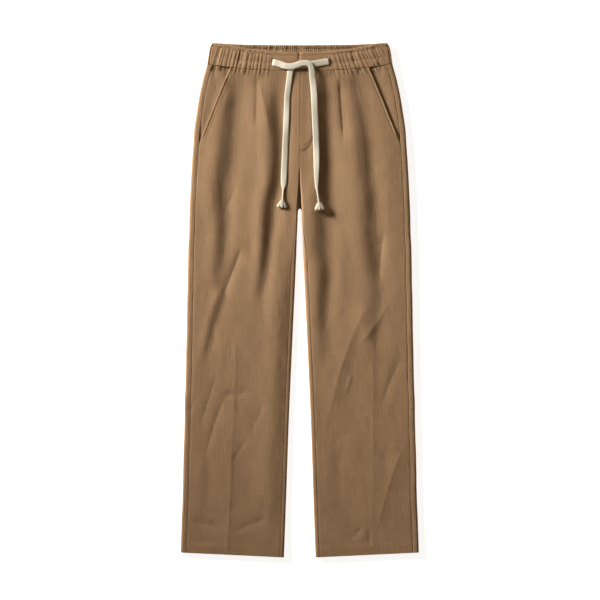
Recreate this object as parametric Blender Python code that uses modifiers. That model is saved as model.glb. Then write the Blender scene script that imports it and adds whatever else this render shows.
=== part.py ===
"""Linen drawstring trousers, laid flat with the front up and the waist towards +Y.

Each leg is a flattened tube. Its back panel lies on the surface and turns up round both edges to
the side seam and the inseam, and its front panel lies on top between those seams. A gathered
casing closes the waist, the pocket mouths are cut on a slant, and a flat tape is half-knotted at
the front. Wearer's left is +X. Heights along the leg are measured up from the hem; the origin is
the middle of the outline, on the surface.
"""

import math
from collections import namedtuple

import bmesh
import bpy
import numpy as np

# ---------------------------------------------------------------- driving dimensions, in metres
OUTSEAM = 1.050         # hem to waist edge, along the side
CLOTH = 0.0012          # wall of one layer of linen
BAND = 0.0030           # wall of the casing: two layers of linen round an elastic
GAP = 0.0003            # clearance between neighbouring pieces
UNDER = 0.0005          # clearance under a layer that covers another
SIDE_SEAM = 0.014       # side seam, measured round the cloth from the outer fold
INSEAM = 0.010          # inseam, measured round the cloth from the inner fold
BAND_SEAM = 0.006       # end seam of the front casing, from its side fold
SEAM_EDGE = 0.0004      # narrow strip along the inseam, so both walls end square to the seam
SEAM_EASE = 0.0007      # extra clearance where the inseam runs down the inner fold
HEM_DEPTH = 0.025       # turned-up hem
HEM_WALL = 0.0010       # one turned-up layer, pressed
HEM_SLANT = 0.010       # the hem's outer end is this much higher than its inner end
FRONT_CROTCH = 0.772    # where the front panels part
BACK_CROTCH = 0.708     # where the back panels part
CROTCH_STEP = 0.004     # the back panels turn up within this length
VALLEY_TOP = 0.800      # the front panels start to dip between the legs here
SEAM_ON_TOP = 0.600     # the inseam has reached its place on top here
FRONT_SEAM = 0.9914     # casing seam at the centre front
BACK_SEAM = 1.0050      # casing seam across the back
POCKET_FOOT = 0.857     # lower end of the pocket mouth
POCKET_X = 0.2000       # its distance from the centre there
POCKET_LEAN = 0.41      # how far it leans towards the centre for each metre up
POCKET_UNDER = 0.018    # the facing reaches this far under the front panel
PLACKET_WIDTH = 0.027
PLACKET_FOOT = 0.830
PLACKET_WALL = 0.0010
CASING_TOP = 0.0078     # top of the front casing beside its lines of stitching
CASING_PUFF = 0.0008    # how far its three rows swell above that
CASING_CREASE = 0.0006  # height of the soft creases across it
CREASE_PITCH = 0.040
TAPE = 0.0018           # thickness of the drawstring tape
TAPE_BED = 0.0088       # height of the casing under the tape
SLIT = (0.0030, 0.0150, 0.0016)   # buttonhole in the casing: across, along and deep
SLIT_X = (-0.0560, 0.0610)        # centres of the two slits
SLIT_Y = 1.0105
SLIT_Z = 0.0084          # height of the middle of the slit

LEFT, RIGHT = 1.0, -1.0
NAMES = {LEFT: "left", RIGHT: "right"}

# ---------------------------------------------------------------- tables
Outline = namedtuple("Outline", "y outer inner")
OUTLINE = (             # half width to the outer fold, and to the inner fold below the crotch
    Outline(0.000, 0.2431, 0.0320),
    Outline(0.117, 0.2397, 0.0277),
    Outline(0.280, 0.2357, 0.0221),
    Outline(0.444, 0.2315, 0.0148),
    Outline(0.608, 0.2283, 0.0074),
    Outline(0.708, 0.2254, 0.0038),
    Outline(0.735, 0.2241, 0.0028),
    Outline(0.772, 0.2222, 0.00015),
    Outline(0.854, 0.2174, 0.00015),
    Outline(0.935, 0.2070, 0.00015),
    Outline(0.976, 0.1980, 0.00015),
    Outline(1.005, 0.1898, 0.00015),
    Outline(1.038, 0.1845, 0.00015),
    Outline(1.050, 0.1793, 0.00015),
)

Waist = namedtuple("Waist", "x seam front_edge back_edge")
WAIST = (               # heights of the casing's seam and edges, by distance from the centre
    Waist(0.000, 0.9914, 1.0313, 1.0460),
    Waist(0.056, 0.9925, 1.0330, 1.0462),
    Waist(0.096, 0.9945, 1.0370, 1.0468),
    Waist(0.139, 0.9985, 1.0445, 1.0482),
    Waist(0.172, 1.0030, 1.0500, 1.0500),
    Waist(0.190, 1.0050, 1.0500, 1.0500),
)

Level = namedtuple("Level", "y fold crown least")
LEVELS = (              # thickness at the side folds, height of the front, and its least height
    Level(0.000, 0.0062, 0.0066, 0.0062),
    Level(0.030, 0.0062, 0.0066, 0.0062),
    Level(0.075, 0.0060, 0.0062, 0.0036),
    Level(0.400, 0.0060, 0.0066, 0.0032),
    Level(0.772, 0.0060, 0.0070, 0.0034),
    Level(0.850, 0.0062, 0.0070, 0.0048),
    Level(0.950, 0.0066, 0.0070, 0.0054),
    Level(1.050, 0.0070, 0.0070, 0.0066),
)

Fold = namedtuple("Fold", "x0 y0 x1 y1 bow height west east")
FOLDS = (               # chord from top to bottom, sideways bow, height, reach to -X and to +X
    # wearer's right leg
    Fold(-0.083, 0.985, -0.061, 0.850, 0.002, 0.0030, 0.022, 0.007),     # pleat
    Fold(-0.139, 0.960, -0.166, 0.600, -0.008, -0.0036, 0.017, 0.017),
    Fold(-0.057, 0.950, -0.060, 0.770, 0.000, -0.0026, 0.012, 0.014),
    Fold(-0.068, 0.790, -0.062, 0.540, -0.004, -0.0044, 0.012, 0.009),
    Fold(-0.105, 0.860, -0.108, 0.580, 0.004, 0.0022, 0.020, 0.020),
    Fold(-0.116, 0.650, -0.200, 0.370, 0.006, -0.0042, 0.011, 0.016),
    Fold(-0.172, 0.400, -0.203, 0.240, -0.004, -0.0032, 0.012, 0.014),
    Fold(-0.131, 0.500, -0.149, 0.010, 0.000, 0.0024, 0.016, 0.012),     # pressed crease
    Fold(-0.060, 0.520, -0.082, 0.040, 0.006, -0.0026, 0.017, 0.019),
    Fold(-0.205, 0.870, -0.208, 0.560, 0.000, 0.0018, 0.012, 0.012),
    # wearer's left leg
    Fold(0.085, 0.985, 0.086, 0.850, 0.002, -0.0030, 0.007, 0.020),      # pleat
    Fold(0.046, 0.960, 0.052, 0.440, 0.003, -0.0044, 0.014, 0.010),
    Fold(0.134, 0.955, 0.150, 0.500, 0.003, -0.0036, 0.017, 0.015),
    Fold(0.097, 0.860, 0.103, 0.560, 0.000, 0.0026, 0.020, 0.018),
    Fold(0.178, 0.700, 0.168, 0.520, -0.006, -0.0030, 0.010, 0.014),
    Fold(0.142, 0.530, 0.052, 0.250, -0.010, 0.0036, 0.020, 0.012),
    Fold(0.190, 0.540, 0.115, 0.425, -0.004, -0.0032, 0.010, 0.012),
    Fold(0.150, 0.460, 0.150, 0.010, 0.000, 0.0024, 0.014, 0.012),       # pressed crease
    Fold(0.212, 0.430, 0.160, 0.280, 0.006, -0.0028, 0.012, 0.014),
    Fold(0.212, 0.240, 0.155, 0.030, 0.006, 0.0026, 0.016, 0.012),
    Fold(0.075, 0.260, 0.078, 0.030, 0.003, -0.0024, 0.018, 0.018),
)

Route = namedtuple("Route", "x y lift width thick")
STRANDS = {             # centre line of each strand, its height over the cloth and its section
    LEFT: (
        Route(-0.0535, 1.0095, 0.0000, 0.0130, TAPE),
        Route(-0.0400, 1.0055, 0.0010, 0.0130, TAPE),
        Route(-0.0270, 1.0012, 0.0025, 0.0126, TAPE),
        Route(-0.0160, 1.0006, 0.0025, 0.0122, TAPE),
        Route(-0.0060, 1.0035, 0.0025, 0.0120, TAPE),
        Route(0.0040, 1.0070, 0.0025, 0.0116, TAPE),
        Route(0.0130, 1.0078, 0.0025, 0.0112, TAPE),
        Route(0.0212, 1.0035, 0.0025, 0.0112, TAPE),
        Route(0.0243, 0.9950, 0.0025, 0.0118, TAPE),
        Route(0.0258, 0.9800, 0.0022, 0.0128, TAPE),
        Route(0.0285, 0.9550, 0.0020, 0.0130, TAPE),
        Route(0.0317, 0.8893, 0.0020, 0.0130, TAPE),
        Route(0.0336, 0.8400, 0.0010, 0.0126, TAPE),
        Route(0.0343, 0.8024, 0.0002, 0.0122, TAPE),
        Route(0.0343, 0.7768, 0.0000, 0.0098, TAPE),
        Route(0.0346, 0.7564, 0.0000, 0.0064, 0.0022),
        Route(0.0360, 0.7462, 0.0000, 0.0042, 0.0026),
        Route(0.0377, 0.7340, 0.0000, 0.0031, 0.0028),
        Route(0.0390, 0.7245, 0.0000, 0.0040, 0.0032),
    ),
    RIGHT: (
        Route(0.0585, 1.0110, 0.0000, 0.0130, TAPE),
        Route(0.0430, 1.0085, 0.0000, 0.0130, TAPE),
        Route(0.0270, 1.0062, 0.0000, 0.0126, TAPE),
        Route(0.0110, 1.0050, 0.0000, 0.0120, TAPE),
        Route(-0.0040, 1.0035, 0.0000, 0.0118, TAPE),
        Route(-0.0146, 0.9990, 0.0000, 0.0120, TAPE),
        Route(-0.0196, 0.9880, 0.0000, 0.0120, TAPE),
        Route(-0.0212, 0.9740, 0.0000, 0.0116, TAPE),
        Route(-0.0254, 0.9375, 0.0000, 0.0115, TAPE),
        Route(-0.0283, 0.8650, 0.0000, 0.0118, TAPE),
        Route(-0.0308, 0.8050, 0.0000, 0.0126, TAPE),
        Route(-0.0322, 0.7770, 0.0000, 0.0124, TAPE),
        Route(-0.0330, 0.7610, 0.0000, 0.0108, TAPE),
        Route(-0.0335, 0.7540, 0.0000, 0.0062, 0.0022),
        Route(-0.0338, 0.7480, 0.0000, 0.0034, 0.0026),
        Route(-0.0343, 0.7400, 0.0000, 0.0031, 0.0028),
        Route(-0.0351, 0.7300, 0.0000, 0.0040, 0.0032),
    ),
}

TuftRow = namedtuple("TuftRow", "down width thick")
TUFT = (                # sections of a frayed end, from its neck down
    TuftRow(0.0000, 0.0056, 0.0040),
    TuftRow(0.0030, 0.0100, 0.0046),
    TuftRow(0.0080, 0.0160, 0.0050),
    TuftRow(0.0145, 0.0190, 0.0046),
    TuftRow(0.0190, 0.0184, 0.0036),
)

Finish = namedtuple("Finish", "colour roughness")
LINEN = Finish((0.230, 0.140, 0.080, 1.0), 0.85)
LINEN_SHADE = Finish((0.190, 0.112, 0.062, 1.0), 0.85)
COTTON = Finish((0.640, 0.570, 0.440, 1.0), 0.80)
COTTON_FRAYED = Finish((0.600, 0.530, 0.400, 1.0), 0.90)


# ---------------------------------------------------------------- reading the tables
def column(table, name, at):
    """One column of a table at the given places, on a smooth curve that never overshoots a row."""
    places = np.array([row[0] for row in table])
    values = np.array([getattr(row, name) for row in table])
    runs = np.diff(values) / np.diff(places)
    both = runs[:-1] * runs[1:]
    inside = np.where(both > 0, 2 * both / np.where(both > 0, runs[:-1] + runs[1:], 1.0), 0.0)
    slopes = np.concatenate((runs[:1], inside, runs[-1:]))
    at = np.clip(at, places[0], places[-1])
    i = np.clip(np.searchsorted(places, at) - 1, 0, len(places) - 2)
    step = places[i + 1] - places[i]
    t = (at - places[i]) / step
    rise = t * t * (3 - 2 * t)
    ends = values[i] * (1 - rise) + values[i + 1] * rise
    return ends + step * t * (1 - t) * (slopes[i] * (1 - t) - slopes[i + 1] * t)


def places(start, *runs):
    """Distances from a start through runs of (end, number of steps)."""
    found = [np.array([start])]
    for end, steps in runs:
        found.append(np.linspace(found[-1][-1], end, steps + 1)[1:])
    return np.concatenate(found)


def smooth(value, low, high):
    """0 at low, 1 at high, with a soft start and end."""
    t = np.clip((value - low) / (high - low), 0.0, 1.0)
    return t * t * (3 - 2 * t)


# ---------------------------------------------------------------- the front's surface
def folds(x, y):
    """Height that all folds add: a bump across each chord, faded out at both of its ends."""
    total = np.zeros_like(x)
    for fold in FOLDS:
        length = math.hypot(fold.x1 - fold.x0, fold.y1 - fold.y0)
        dx, dy = (fold.x1 - fold.x0) / length, (fold.y1 - fold.y0) / length
        t = ((x - fold.x0) * dx + (y - fold.y0) * dy) / length
        bow = fold.bow * 4 * t * (1 - t)
        across = (y - fold.y0) * dx - (x - fold.x0) * dy - bow
        reach = np.where(across < 0, fold.west, fold.east)
        ends = smooth(t, 0.0, 0.25) * smooth(1 - t, 0.0, 0.25)
        total += fold.height * ends * np.exp(-0.5 * (across / reach) ** 2)
    return total


def front_height(x, y):
    """Top of the front panels: a low crown and its folds, never lower than the layers under it."""
    least = column(LEVELS, "least", y)
    spare = column(LEVELS, "crown", y) + folds(x, y) - least
    softness = 0.0012
    return least + 0.5 * (spare + np.sqrt(spare ** 2 + softness ** 2))


# ---------------------------------------------------------------- a leg as a flattened tube
class Leg:
    """Rings of one leg, each at a height y above the hem.

    A place on a ring is its distance g round the cloth from the inner fold, first over the top
    to the outer fold and then back along the underside. Each fold is half a circle.
    """

    def __init__(self, side, y):
        self.side = side
        self.y = y
        near_waist = smooth(y, FRONT_SEAM - 0.120, FRONT_SEAM)
        near_hem = 1 - smooth(y, 0.0, 0.150)
        edge_y = y + near_waist * (BACK_SEAM - FRONT_SEAM) + near_hem * HEM_SLANT
        self.near_waist, self.near_hem = near_waist, near_hem
        self.outer = column(OUTLINE, "outer", edge_y)
        self.inner = column(OUTLINE, "inner", y)
        self.middle = 0.5 * column(LEVELS, "fold", y)
        self.quarter = self.middle * math.pi / 2
        self.width = self.outer - self.inner + (math.pi - 2) * self.middle
        self.parted = 1 - smooth(y, BACK_CROTCH, BACK_CROTCH + CROTCH_STEP)
        self.dipped = 1 - smooth(y, FRONT_CROTCH, VALLEY_TOP)
        self.inseam = INSEAM * (1 - smooth(y, SEAM_ON_TOP, BACK_CROTCH))

    def point(self, g, depth=0.0):
        """The place at distance g, set in by a depth from the outside of the cloth."""
        top = g < self.width
        along = np.where(top, g, 2 * self.width - g)
        under_rim = along < 0                       # past the inner fold, on top again
        on_top = top | under_rim
        along = np.abs(along)
        inner_half = along < self.width / 2
        near = np.where(inner_half, along, self.width - along)
        angle = np.minimum(near / self.middle, math.pi / 2)
        flat = np.maximum(near - self.quarter, 0.0)
        reach = depth + (self.middle - depth) * (1 - np.cos(angle)) + flat
        lift = np.sin(angle)
        x = np.where(inner_half, self.inner + reach, self.outer - reach)
        # above the crotch the back is one flat sheet up to the centre seam
        flat_back = inner_half & ~on_top
        x = np.where(flat_back, (GAP / 2 + along) * (1 - self.parted) + x * self.parted, x)
        y = self.y + self.slant(x, on_top)
        height = front_height(self.side * x, y) - depth
        top_lift = np.where(inner_half, 1 - self.dipped * (1 - lift), lift)
        low_lift = np.where(inner_half, 1 - self.parted * (1 - lift), lift)
        z = np.where(on_top, self.middle + top_lift * (height - self.middle),
                     self.middle - low_lift * (self.middle - depth))
        return x, y, z

    def slant(self, x, on_top):
        """How far the hem's slant and the casing seam's curve raise a place."""
        hem = HEM_SLANT * np.clip((x - self.inner) / (self.outer - self.inner), 0, 1)
        rise = np.where(on_top, column(WAIST, "seam", x), BACK_SEAM) - FRONT_SEAM
        return self.near_hem * hem + self.near_waist * rise

    def front_end(self):
        """Where the front panel ends: at the side seam, or at the slanted pocket mouth."""
        mouth = pocket_mouth(self.y + 0.008 * self.near_waist)
        at_mouth = mouth - self.inner + (math.pi / 2 - 1) * self.middle
        return min(self.width - SIDE_SEAM, at_mouth) - GAP / 2

    def front_places(self):
        ease = SEAM_EASE * smooth(self.y, SEAM_ON_TOP, BACK_CROTCH)
        start = self.inseam + GAP / 2 + ease
        return places(start, (start + SEAM_EDGE, 1), (start + self.quarter, 3),
                      (self.front_end(), 10))

    def back_places(self):
        outer, inner = self.width, 2 * self.width
        end = inner + self.inseam - GAP / 2
        return places(outer - SIDE_SEAM + GAP / 2, (outer - self.quarter, 1),
                      (outer + self.quarter, 4), (inner - self.quarter, 2),
                      (end - SEAM_EDGE, 4), (end, 1))


def pocket_mouth(y):
    """Distance of the slanted pocket mouth from the centre, at a height above the hem."""
    return POCKET_X - POCKET_LEAN * (y - POCKET_FOOT)


def rows():
    """Heights of the rings: close together at the hem and the crotch."""
    return np.concatenate((
        (0.0, HEM_DEPTH), np.linspace(0.065, SEAM_ON_TOP, 11),
        (0.625, 0.648, 0.670, 0.690, BACK_CROTCH, BACK_CROTCH + CROTCH_STEP, 0.740),
        (FRONT_CROTCH, 0.786, VALLEY_TOP, 0.828, POCKET_FOOT),
        np.linspace(0.890, FRONT_SEAM - GAP / 2, 4)))


# ---------------------------------------------------------------- meshes
def finish(name, look):
    material = bpy.data.materials.new(name)
    material.use_nodes = True
    shader = material.node_tree.nodes["Principled BSDF"]
    shader.inputs["Base Color"].default_value = look.colour
    shader.inputs["Roughness"].default_value = look.roughness
    return material


def put_together(name, mesh_data, look, home):
    mesh = bpy.data.meshes.new(name)
    mesh_data.to_mesh(mesh)
    mesh_data.free()
    thing = bpy.data.objects.new(name, mesh)
    thing.data.materials.append(finish(name, look))
    thing.data.shade_smooth()
    home.objects.link(thing)
    return thing


def grid(points):
    """A grid whose corner (row, column) lies at points[row, column], measured from the hem."""
    tall, wide = points.shape[:2]
    mesh = bmesh.new()
    bmesh.ops.create_grid(mesh, x_segments=wide - 1, y_segments=tall - 1, size=0.5)
    for vertex in mesh.verts:
        i = round((vertex.co.y + 0.5) * (tall - 1))
        j = round((vertex.co.x + 0.5) * (wide - 1))
        x, y, z = points[i, j]
        vertex.co = (x, y - OUTSEAM / 2, z)
    return mesh


def cloth(name, points, wall, look, home, turned=False, ring=False):
    """A sheet of cloth: its outer face is the grid of points, and Solidify gives it its wall."""
    mesh = grid(points)
    if ring:
        bmesh.ops.remove_doubles(mesh, verts=mesh.verts, dist=1e-6)
    if turned:
        bmesh.ops.reverse_faces(mesh, faces=mesh.faces)
    sheet = put_together(name, mesh, look, home)
    solidify = sheet.modifiers.new("wall", "SOLIDIFY")
    solidify.thickness = wall
    solidify.offset = -1.0
    solidify.use_even_offset = True
    return sheet


def on_side(side, x, y, z):
    return np.stack((side * x, y, z), axis=-1)


def panel(side, kind, home):
    """A front or back leg panel: one row of points on each ring."""
    lines = []
    for y in rows():
        leg = Leg(side, y)
        g = leg.front_places() if kind == "front" else leg.back_places()
        lines.append(on_side(side, *leg.point(g)))
    cloth(f"{kind}_panel_{NAMES[side]}", np.array(lines), CLOTH, LINEN, home, side == RIGHT)


def hem(side, home):
    """The turned-up hem: a ring inside both panels, with a point inside each of theirs."""
    lines = []
    for y in (0.0, HEM_DEPTH):
        leg = Leg(side, y)
        g = np.concatenate((leg.front_places(), leg.back_places()))
        line = on_side(side, *leg.point(g, depth=CLOTH + GAP))
        lines.append(np.concatenate((line, line[:1])))
    cloth(f"hem_{NAMES[side]}", np.array(lines), HEM_WALL, LINEN_SHADE, home, side == RIGHT,
          True)


def pocket_facing(side, home):
    """The facing in the pocket mouth: under the front panel, rising to the side seam."""
    lines = []
    for y in rows()[rows() > POCKET_FOOT - 0.015]:
        leg = Leg(side, y)
        seam = leg.width - SIDE_SEAM - GAP / 2
        mouth = leg.front_end()
        g = np.linspace(mouth - POCKET_UNDER, seam, 6)
        x, height_y, z = leg.point(g)
        shown = smooth(seam - mouth, 0.004, 0.020) * smooth(g, mouth + 0.001, seam)
        lines.append(on_side(side, x, height_y, z - (1 - shown) * (CLOTH + UNDER)))
    cloth(f"pocket_facing_{NAMES[side]}", np.array(lines), CLOTH, LINEN_SHADE, home, side == RIGHT)


def fly_placket(home):
    """The fly on the left front: straight at the centre seam, its other edge a J."""
    lines = []
    for t in np.linspace(0.0, 1.0, 12):
        y = PLACKET_FOOT + t * (FRONT_SEAM - 0.001 - PLACKET_FOOT)
        bend = PLACKET_WIDTH * 1.4
        curve = math.sqrt(1 - max(0.0, 1 - (y - PLACKET_FOOT) / bend) ** 2)
        x = np.linspace(0.0008, 0.0030 + (PLACKET_WIDTH - 0.0030) * curve, 4)
        z = front_height(x, np.full(4, y)) + GAP + PLACKET_WALL
        lines.append(on_side(LEFT, x, np.full(4, y), z))
    cloth("fly_placket", np.array(lines), PLACKET_WALL, LINEN, home)


# ---------------------------------------------------------------- the casing
def band_ring(t):
    """One ring of the casing, t of the way up: its half width, half thickness and fold."""
    y = BACK_SEAM + t * (OUTSEAM - BACK_SEAM)
    half = column(OUTLINE, "outer", y)
    middle = 0.5 * column(LEVELS, "fold", y)
    return half, middle, half + (math.pi / 2 - 1) * middle


def band_section(a, t):
    """Places at distances a round the casing's ring from the centre front.

    Gives where each lies across, how far it has turned up from the fold, and which are on top.
    """
    half, middle, fold = band_ring(t)
    near = fold - np.abs(a)
    angle = np.minimum(np.abs(near) / middle, math.pi / 2)
    flat = np.maximum(np.abs(near) - middle * math.pi / 2, 0)
    x = np.sign(a) * (half - middle * (1 - np.cos(angle)) - flat)
    return x, np.sin(angle), near > 0


def band_height(x, t):
    """Top of the front casing: three soft rows between its two lines of stitching."""
    puff = CASING_PUFF * np.abs(np.sin(math.pi * (2.5 * t)))
    crease = CASING_CREASE * np.sin(np.abs(x) * 2 * math.pi / CREASE_PITCH)
    return CASING_TOP + puff + crease * smooth(np.abs(x), 0.06, 0.10)


BAND_ROWS = (0.0, 0.2, 0.4, 0.6, 0.8, 1.0)


def waistband_front(home):
    lines = []
    for t in BAND_ROWS:
        _, middle, fold = band_ring(t)
        reach = fold - BAND_SEAM - 2 * GAP
        x, lift, _ = band_section(np.linspace(-reach, reach, 29), t)
        low = column(WAIST, "seam", np.abs(x)) + GAP / 2
        y = low + t * (column(WAIST, "front_edge", np.abs(x)) - low)
        z = middle + lift * (band_height(x, t) - middle)
        lines.append(np.stack((x, y, z), axis=-1))
    return cloth("waistband_front", np.array(lines), BAND, LINEN, home)


def waistband_back(home):
    """The back casing: flat on the surface, turned up round both sides to meet the front."""
    lines = []
    for t in BAND_ROWS:
        half, middle, fold = band_ring(t)
        quarter = middle * math.pi / 2
        right = places(fold - BAND_SEAM + GAP / 2, (fold - quarter, 1), (fold + quarter, 4),
                       (fold + half + quarter - middle, 4))
        x, lift, on_top = band_section(np.concatenate((right, -right[-2::-1])), t)
        low = np.where(on_top, column(WAIST, "seam", np.abs(x)), BACK_SEAM) + GAP / 2
        edge = np.where(on_top, column(WAIST, "front_edge", np.abs(x)),
                        column(WAIST, "back_edge", np.abs(x)))
        y = low + t * (edge - low)
        z = np.where(on_top, middle + lift * (band_height(x, t) - middle), middle * (1 - lift))
        lines.append(np.stack((x, y, z), axis=-1))
    cloth("waistband_back", np.array(lines), BAND, LINEN_SHADE, home)


def cut_slits(band, cutters):
    """Two upright buttonholes in the front casing, where the tape comes out."""
    for side, x in zip("ba", SLIT_X):
        mesh = bmesh.new()
        bmesh.ops.create_cube(mesh, size=1.0)
        bmesh.ops.scale(mesh, vec=(SLIT[0], SLIT[1], 2 * SLIT[2]), verts=mesh.verts)
        cutter = put_together(f"slit_{side}", mesh, LINEN, cutters)
        cutter.location = (x, SLIT_Y - OUTSEAM / 2, SLIT_Z)
        cutter.hide_render = True
        cutter.display_type = "WIRE"
        cut = band.modifiers.new(f"slit_{side}", "BOOLEAN")
        cut.operation = "DIFFERENCE"
        cut.object = cutter


# ---------------------------------------------------------------- the drawstring
def under_tape(x, y):
    """Height of the cloth that the tape lies on."""
    seam = column(WAIST, "seam", np.abs(x))
    return np.where(y > seam - 0.004, TAPE_BED, front_height(x, y))


def tube(name, centres, across, widths, thicks, look, home, sides=8):
    """A flat closed tube: a rounded section carried along the centres, with capped ends."""
    turn = np.linspace(0, 2 * math.pi, sides + 1)
    wide = np.sign(np.cos(turn)) * np.abs(np.cos(turn)) ** 0.6
    high = np.sign(np.sin(turn)) * np.abs(np.sin(turn)) ** 0.8
    points = (centres[:, None, :] + across[:, None, :] * (widths[:, None] * wide / 2)[..., None])
    points[..., 2] += thicks[:, None] * high / 2
    mesh = grid(points)
    bmesh.ops.remove_doubles(mesh, verts=mesh.verts, dist=1e-6)
    bmesh.ops.holes_fill(mesh, edges=mesh.edges, sides=0)
    bmesh.ops.recalc_face_normals(mesh, faces=mesh.faces)
    put_together(name, mesh, look, home)


def strand_path(side, steps=38):
    """Centre line of a strand, resting on the highest cloth across its width."""
    route = STRANDS[side]
    nodes = np.array([row[:5] for row in route])
    chord = np.concatenate(((0,), np.cumsum(np.hypot(*np.diff(nodes[:, :2], axis=0).T))))
    at = np.linspace(0, chord[-1], steps)
    Row = namedtuple("Row", "s x y lift width thick")
    table = [Row(s, *row) for s, row in zip(chord, route)]
    x, y, lift, width, thick = (column(table, key, at) for key in Row._fields[1:])
    along = np.stack((np.gradient(x), np.gradient(y), np.zeros(steps)), axis=-1)
    along /= np.linalg.norm(along, axis=1, keepdims=True)
    across = np.stack((along[:, 1], -along[:, 0], np.zeros(steps)), axis=-1)
    spread = np.linspace(-0.6, 0.6, 9)[:, None] * width
    bed = under_tape(x + spread * across[:, 0], y + spread * across[:, 1]).max(axis=0)
    bed = np.array([bed[max(0, i - 2):i + 3].max() for i in range(steps)])
    bed = np.convolve(np.pad(bed, 1, mode="edge"), (0.25, 0.5, 0.25), mode="valid")
    z = bed + UNDER + thick / 2 + lift
    return np.stack((x, y, z), axis=-1), across, width, thick


def drawstring(side, home):
    centres, across, width, thick = strand_path(side)
    tube(f"drawstring_{NAMES[side]}", centres, across, width, thick, COTTON, home)
    end, before = centres[-1], centres[-4]
    along = (end - before) / np.linalg.norm(end - before)
    down = np.array([row.down for row in TUFT]) + GAP
    frayed = end + down[:, None] * along
    spread = np.linspace(-0.0105, 0.0105, 7)
    bed = max(under_tape(end[0] + spread, np.full(7, y)).max() for y in frayed[:, 1])
    thick = np.array([row.thick for row in TUFT])
    frayed[:, 2] = np.maximum(bed + UNDER + thick / 2, end[2] - 0.004)
    width = np.array([row.width for row in TUFT])
    across = np.repeat(across[-1:], len(TUFT), axis=0)
    tube(f"tuft_{NAMES[side]}", frayed, across, width, thick, COTTON_FRAYED, home, sides=10)


# ---------------------------------------------------------------- build
def main():
    for thing in list(bpy.data.objects):
        bpy.data.objects.remove(thing)
    home = bpy.data.collections.new("linen_drawstring_trousers")
    cutters = bpy.data.collections.new("cutters")
    for collection in (home, cutters):
        bpy.context.scene.collection.children.link(collection)
    for side in (LEFT, RIGHT):
        panel(side, "front", home)
        panel(side, "back", home)
        pocket_facing(side, home)
        hem(side, home)
        drawstring(side, home)
    fly_placket(home)
    waistband_back(home)
    cut_slits(waistband_front(home), cutters)


main()
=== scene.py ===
# %% [markdown]
# # Linen drawstring trousers, laid flat
#
# A garment that lies flat is a few thin sheets of cloth, one on the other. Each sheet here is a
# surface written as a formula: a place on the cloth goes in, and a point in space comes out. The
# big shape comes from short tables of measured sizes, the folds from one table with a line for
# each fold, and the fine gathers and the weave come last. A cloth simulation could settle the
# cloth too, but folds listed one by one end up exactly where they are wanted, so that is the way
# taken here.

# %% Load the frame
import math
from collections import namedtuple

import bpy
import numpy as np
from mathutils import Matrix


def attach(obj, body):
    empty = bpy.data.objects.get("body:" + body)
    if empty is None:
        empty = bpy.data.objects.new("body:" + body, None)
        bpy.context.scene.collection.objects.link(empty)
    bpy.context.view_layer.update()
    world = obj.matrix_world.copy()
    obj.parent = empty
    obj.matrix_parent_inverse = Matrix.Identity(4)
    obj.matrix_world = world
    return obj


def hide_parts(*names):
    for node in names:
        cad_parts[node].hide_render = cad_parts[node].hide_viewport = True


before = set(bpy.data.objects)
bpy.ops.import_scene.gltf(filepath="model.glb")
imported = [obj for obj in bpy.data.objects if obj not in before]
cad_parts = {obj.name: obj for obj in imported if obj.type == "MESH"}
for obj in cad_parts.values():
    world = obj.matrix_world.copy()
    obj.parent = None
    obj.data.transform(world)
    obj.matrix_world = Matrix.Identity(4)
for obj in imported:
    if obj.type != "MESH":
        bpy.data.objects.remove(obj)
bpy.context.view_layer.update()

# %% [markdown]
# ## Sizes
#
# All sizes are in metres. Heights run up the leg from the hem, and the origin of the frame is
# half way up the outseam, so a finished point is moved down by half of `OUTSEAM`. The outline
# table gives the two folded edges of a leg, the waist table gives the casing, which dips at the
# centre front, and the level table says how thick the folded garment is.

# %% Sizes and tables
OUTSEAM = 1.050         # hem to waist edge, along the side
CLOTH = 0.0012          # wall of one layer of linen
BAND = 0.0030           # wall of the casing: two layers of linen round an elastic
GAP = 0.0003            # clearance between neighbouring pieces
UNDER = 0.0005          # clearance under a layer that covers another
SIDE_SEAM = 0.014       # side seam, measured round the cloth from the outer fold
INSEAM = 0.010          # inseam, measured round the cloth from the inner fold
BAND_SEAM = 0.006       # end seam of the front casing, from its side fold
SEAM_EASE = 0.0007      # extra clearance where the inseam runs down the inner fold
HEM_DEPTH = 0.025       # turned-up hem
HEM_SLANT = 0.010       # the hem's outer end is this much higher than its inner end
FRONT_CROTCH = 0.772    # where the front panels part
BACK_CROTCH = 0.708     # where the back panels part
CROTCH_STEP = 0.004     # the back panels turn up within this length
VALLEY_TOP = 0.800      # the front panels start to dip between the legs here
SEAM_ON_TOP = 0.600     # the inseam has reached its place on top here
FRONT_SEAM = 0.9914     # casing seam at the centre front
BACK_SEAM = 1.0050      # casing seam across the back
POCKET_FOOT = 0.857     # lower end of the pocket mouth
POCKET_UNDER = 0.018    # the facing reaches this far under the front panel
PLACKET_WIDTH = 0.027
PLACKET_FOOT = 0.830
PLACKET_WALL = 0.0010
TAPE = 0.0018           # thickness of the drawstring tape
SLIT_X = (-0.0560, 0.0610)        # centres of the two slits in the casing
SLIT_Y = 1.0105
BAND_DEPTH = 0.040
HEM_WALL = 0.0010       # the turned-up layer, pressed thin
BACK_OVERLAP = 0.0007   # the back panels run this far past the centre
TUCK = 0.0009           # the front rises this much where it meets the casing
PUCKER = 0.0014         # height of the puckers below the casing
POCKET_PROUD = 0.0009   # the pocket's edge stands out from the panel
FLY_LEVEL = 0.0006      # lift of the right front beside the fly
FLY_WALL = 0.0004       # the fly's shell, over the soft height that it adds
GATHERED = 1.25         # length of flat cloth in each length of gathered casing

LEFT, RIGHT = 1.0, -1.0           # the wearer's left is towards +X
NAMES = {LEFT: "left", RIGHT: "right"}



def rows_of(kind, table):
    """The rows of a table, with the columns named as the kind says."""
    return tuple(kind(*row) for row in table)


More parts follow.
